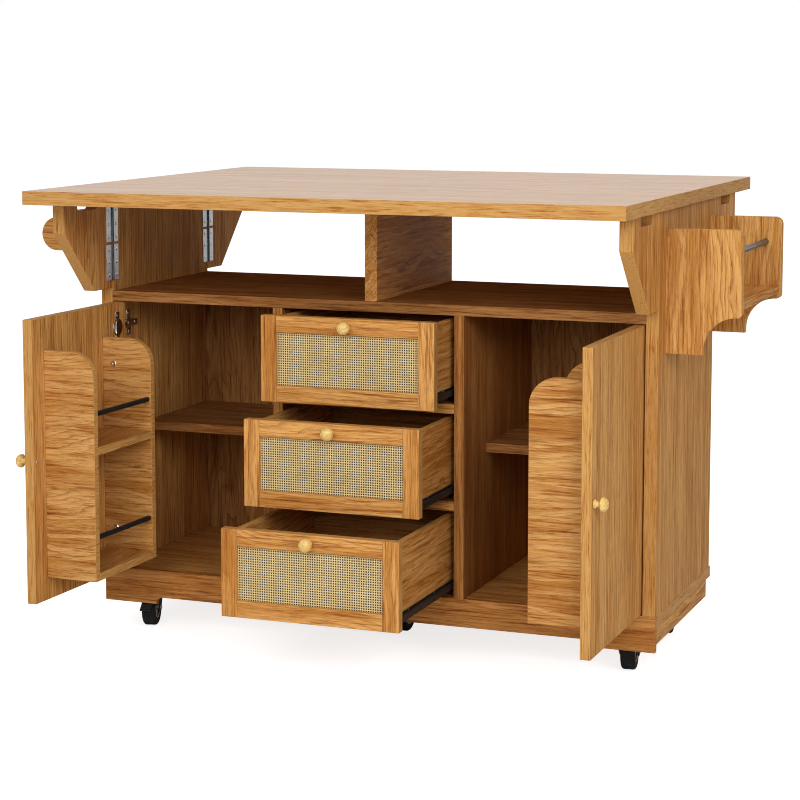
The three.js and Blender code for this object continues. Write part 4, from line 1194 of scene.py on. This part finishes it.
def hub_mesh():
    """Bright rim and boss of the wheel, eight spokes and the thin web between them."""
    build = bmesh.new()
    rim = [(HUB_R + 4.6, -12.9), (HUB_R + 4.6, 12.9), (HUB_R + 2.2, 13.4), (HUB_R + 0.8, 10.6),
           (HUB_R + 0.8, -10.6), (HUB_R + 2.2, -13.4), (HUB_R + 4.6, -12.9)]
    boss = [(4.5, -11.5), (6.6, -11.5), (7.6, -10.5), (7.6, 10.5), (6.6, 11.5), (4.5, 11.5), (4.5, -11.5)]
    web = [(7.2, -1.5), (HUB_R + 1.2, -1.5), (HUB_R + 1.2, 1.5), (7.2, 1.5), (7.2, -1.5)]
    for profile, steps in ((rim, 48), (boss, 32), (web, 40)):
        turned_mesh(profile, "x", AXLE, steps, build)
    for i in range(8):
        add_placed(box_mesh((-9.6, 9.6), (-1.3, 1.3), (7.2, HUB_R + 1.4)),
                   Matrix.Translation(AXLE) @ Matrix.Rotation(i * math.pi / 4, 4, "X"), build)
    return build


print("wheel shapes ready")

# %% [markdown]
# ## Forks, plates and brake levers
# A fork is pressed from sheet steel: two cheeks that go round the axle, a bridge over the wheel and a
# round head.  It is put together here from outlines, boxes and a turned disc.  The brake lever has
# ribs that keep a shoe from slipping.

# %% Forks, plates and brake levers
PEDAL_PIVOT = (41, 73)
CHEEK_IN, CHEEK_THICK, BRIDGE, HEAD_LOW, HEAD_TOP = 16.0, 3.0, 81.0, 94.7, 98.7


def fork_mesh(brake):
    """Two cheeks, the bridge and head between them, and the ears of the brake lever if there is one."""
    build = bmesh.new()
    outlines = [[(-19, HEAD_LOW), (-19, BRIDGE), *arc_points(AXLE[1:], 11, 180 - 8, 360 + 8, 16),
                 (22, BRIDGE), (19, HEAD_LOW)]]
    if brake:
        outlines.append([(11, BRIDGE + 6), (11, BRIDGE - 2), *arc_points(PEDAL_PIVOT, 5.5, 225, 400)])
    for start in (-CHEEK_IN - CHEEK_THICK, CHEEK_IN):
        for outline in outlines:
            slab_mesh(outline, "x", start, CHEEK_THICK, build)
    for low, high in ((BRIDGE, BRIDGE + 3), (HEAD_LOW - 2.6, HEAD_LOW)):
        box_mesh((-CHEEK_IN - 1, CHEEK_IN + 1), (-19, 19), (low, high), build)
    return turned_mesh([(0, HEAD_LOW - 1), (19, HEAD_LOW - 1), (20, HEAD_LOW), (20, HEAD_TOP - 1),
                        (19.2, HEAD_TOP), (0, HEAD_TOP)], "z", (0, 0, 0), into=build)


def plate_mesh():
    """Plate, ball race and its skirt, all fixed to the base."""
    return turned_mesh([(0, 99.0), (17.5, 99.0), (19.6, 99.6), (20, 101), (20, 104.2), (0, 104.2)], "z",
                       (0, 0, 0), into=box_mesh((-28, 28), (-28, 28), (104, 106.8)))


def pedal_mesh():
    """Brake lever: its barrel on the pivot, the cranked lever and four ribs for the foot."""
    build = turned_mesh([(0, -11), (3.4, -11), (4, -10.4), (4, 10.4), (3.4, 11), (0, 11)], "x",
                        (0, *PEDAL_PIVOT), 24)
    lever = [(38.6, 69.8), (57.2, 53.2), (79.4, 43.2), (80.6, 45.8), (59.4, 55.8), (43.6, 74.8)]
    slab_mesh(lever, "x", -11, 22, build)
    for step in range(4):
        y = 64 + step * 4.4
        z = 55.0 - (y - 60) * 0.46
        box_mesh((-9.5, 9.5), (y, y + 1.6), (z, z + 1.9), build)
    return build


print("caster shapes ready")

# %% [markdown]
# ## Casters in place
# Four casters stand under the corners and one under the middle, each turned its own way, and the two
# in front have a brake lever.  Fork, wheel and lever ride on bodies of their own, and the plate
# belongs to the carcass.

# %% Casters in place
CASTERS = {
    "front_left": (-508, -144, 285, True), "front_right": (508, -144, 97, True),
    "rear_left": (-508, 144, 262, False), "rear_right": (508, 144, 98, False),
    "centre": (0, 0, 270, False),
}
AXLE_PROFILE = [(0, -21.2), (4.4, -21.2), (5.4, -20.4), (5.4, -19.1), (3.9, -19.1), (3.9, 19.1),
                (5.4, 19.1), (5.4, 20.4), (4.4, 21.2), (0, 21.2)]
for name, (x, y, heading, brake) in CASTERS.items():
    turned, straight = local_frame(x, y, 0, heading - 90), local_frame(x, y)
    on_fork, on_wheel = (turned, f"caster_{name}"), (turned, f"wheel_{name}")
    finished(f"fork_{name}", fork_mesh(brake), on_fork, CASTER_BLACK, (f"caster_fork_{name}",),
             0.7)
    finished(f"tyre_{name}", tyre_mesh(), on_wheel, RUBBER, (f"caster_wheel_{name}",), 0)
    finished(f"hub_{name}", hub_mesh(), on_wheel, CHROME, bevel=0.25)
    finished(f"axle_{name}", turned_mesh(AXLE_PROFILE, "x", AXLE, 24), on_fork, STEEL, bevel=0)
    finished(f"plate_{name}", plate_mesh(), (turned if name == "centre" else straight, "carcass"),
             CASTER_BLACK, bevel=0.5)
    for plate_x in (-20, 20):
        for plate_y in (-20, 20):
            screw((straight, "carcass"), (plate_x, plate_y, 104), (0, 0, -1), 4)
    if brake:
        finished(f"pedal_{name}", pedal_mesh(), (turned, f"pedal_{name}"), CASTER_BLACK,
                 (f"brake_pedal_{name}",), 0.6)
print("casters built")

# %% [markdown]
# ## Screws
# Every hinge, runner, rack and caster is held by cross-headed screws.  Only the head is seen, so only
# the head is made, once, with a radius of 1.  Its cross-shaped recess is a ring of points that is
# pushed down.

# %% Screw head
CROSS = (0.42, 0.16, 0.16, 0.16)


def screw_head():
    """A countersunk head of radius 1 in the XY plane, rising along Z, with a cross-shaped recess."""
    build = bmesh.new()

    def ring(height, *radii, steps=16):
        """A ring of points whose radii follow each other round the axis."""
        turns = [(radii[i % len(radii)], 2 * math.pi * i / steps) for i in range(steps)]
        return [build.verts.new((r * math.cos(a), r * math.sin(a), height)) for r, a in turns]

    rings = [ring(-0.02, 1.0), ring(0.1, 1.0), ring(0.2, 0.88), ring(0.27, 0.5), ring(0.27, *CROSS),
             ring(0.05, *CROSS)]
    for a, b in zip(rings, rings[1:]):
        bridge(build, a, b)
    build.faces.new(list(reversed(rings[0])))
    build.faces.new(rings[-1])
    mesh = bpy.data.meshes.new("screw_head")
    build.to_mesh(mesh)
    build.free()
    return add_object("screw_head_source", mesh)


HEAD = screw_head()
print("screw head", len(HEAD.data.polygons), "faces")

# %% [markdown]
# ## Screws in place
# The places of the screws were noted above, one list for each body.  Geometry Nodes put the head on
# every point, turned to the stored direction and scaled to the stored radius, and each body gets one
# mesh.  A random turn from a fixed seed keeps the crosses from standing in line.

# %% Geometry Nodes: screws
FLOAT_MAX, FLOAT_VALUE = 3, 1


def screw_tree():
    """One head on every point, turned by a random angle about its own axis."""
    tree, inputs = new_tree("screw_heads", "Geometry", {
        "Geometry": "Geometry", "Head": "Object", "Turn Seed": "Int", "Material": "Material"},
        {"Geometry": "Geometry"})
    direction, radius = (
        result_of(tree, "GeometryNodeInputNamedAttribute", {"Name": name}, "Attribute", data_type=kind)
        for name, kind in (("direction", "FLOAT_VECTOR"), ("radius", "FLOAT")))
    align = result_of(tree, "FunctionNodeAlignRotationToVector", {"Vector": direction}, axis="Z")
    head = result_of(tree, "GeometryNodeObjectInfo", {"Object": inputs["Head"]}, "Geometry")
    turn = result_of(tree, "FunctionNodeRandomValue", {FLOAT_MAX: math.pi, "Seed": inputs["Turn Seed"]},
                     FLOAT_VALUE, data_type="FLOAT")
    spin = result_of(tree, "FunctionNodeAxisAngleToRotation", {"Axis": (0, 0, 1), "Angle": turn})
    turned = result_of(tree, "FunctionNodeRotateRotation", {"Rotation": align, "Rotate By": spin},
                       rotation_space="LOCAL")
    placed = result_of(tree, "GeometryNodeInstanceOnPoints", {
        "Points": inputs["Geometry"], "Instance": head, "Rotation": turned, "Scale": radius})
    return covered(tree, placed, inputs["Material"])


SCREW_TREE = screw_tree()
for seed, (body, places) in enumerate(sorted(SCREWS.items())):
    points = bpy.data.meshes.new(f"screw_places_{body}")
    points.from_pydata([tuple(at) for at, _, _ in places], [], [])
    points.attributes.new("direction", "FLOAT_VECTOR", "POINT")
    points.attributes.new("radius", "FLOAT", "POINT")
    for i, (_, direction, radius) in enumerate(places):
        points.attributes["direction"].data[i].vector = direction
        points.attributes["radius"].data[i].value = radius
    heads = nodes_result(f"screws_{body}", SCREW_TREE, {"Head": HEAD, "Turn Seed": seed, "Material": CHROME},
                         points)
    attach(heads, body)
    print(heads.name, len(places), "screws")
bpy.data.objects.remove(HEAD)
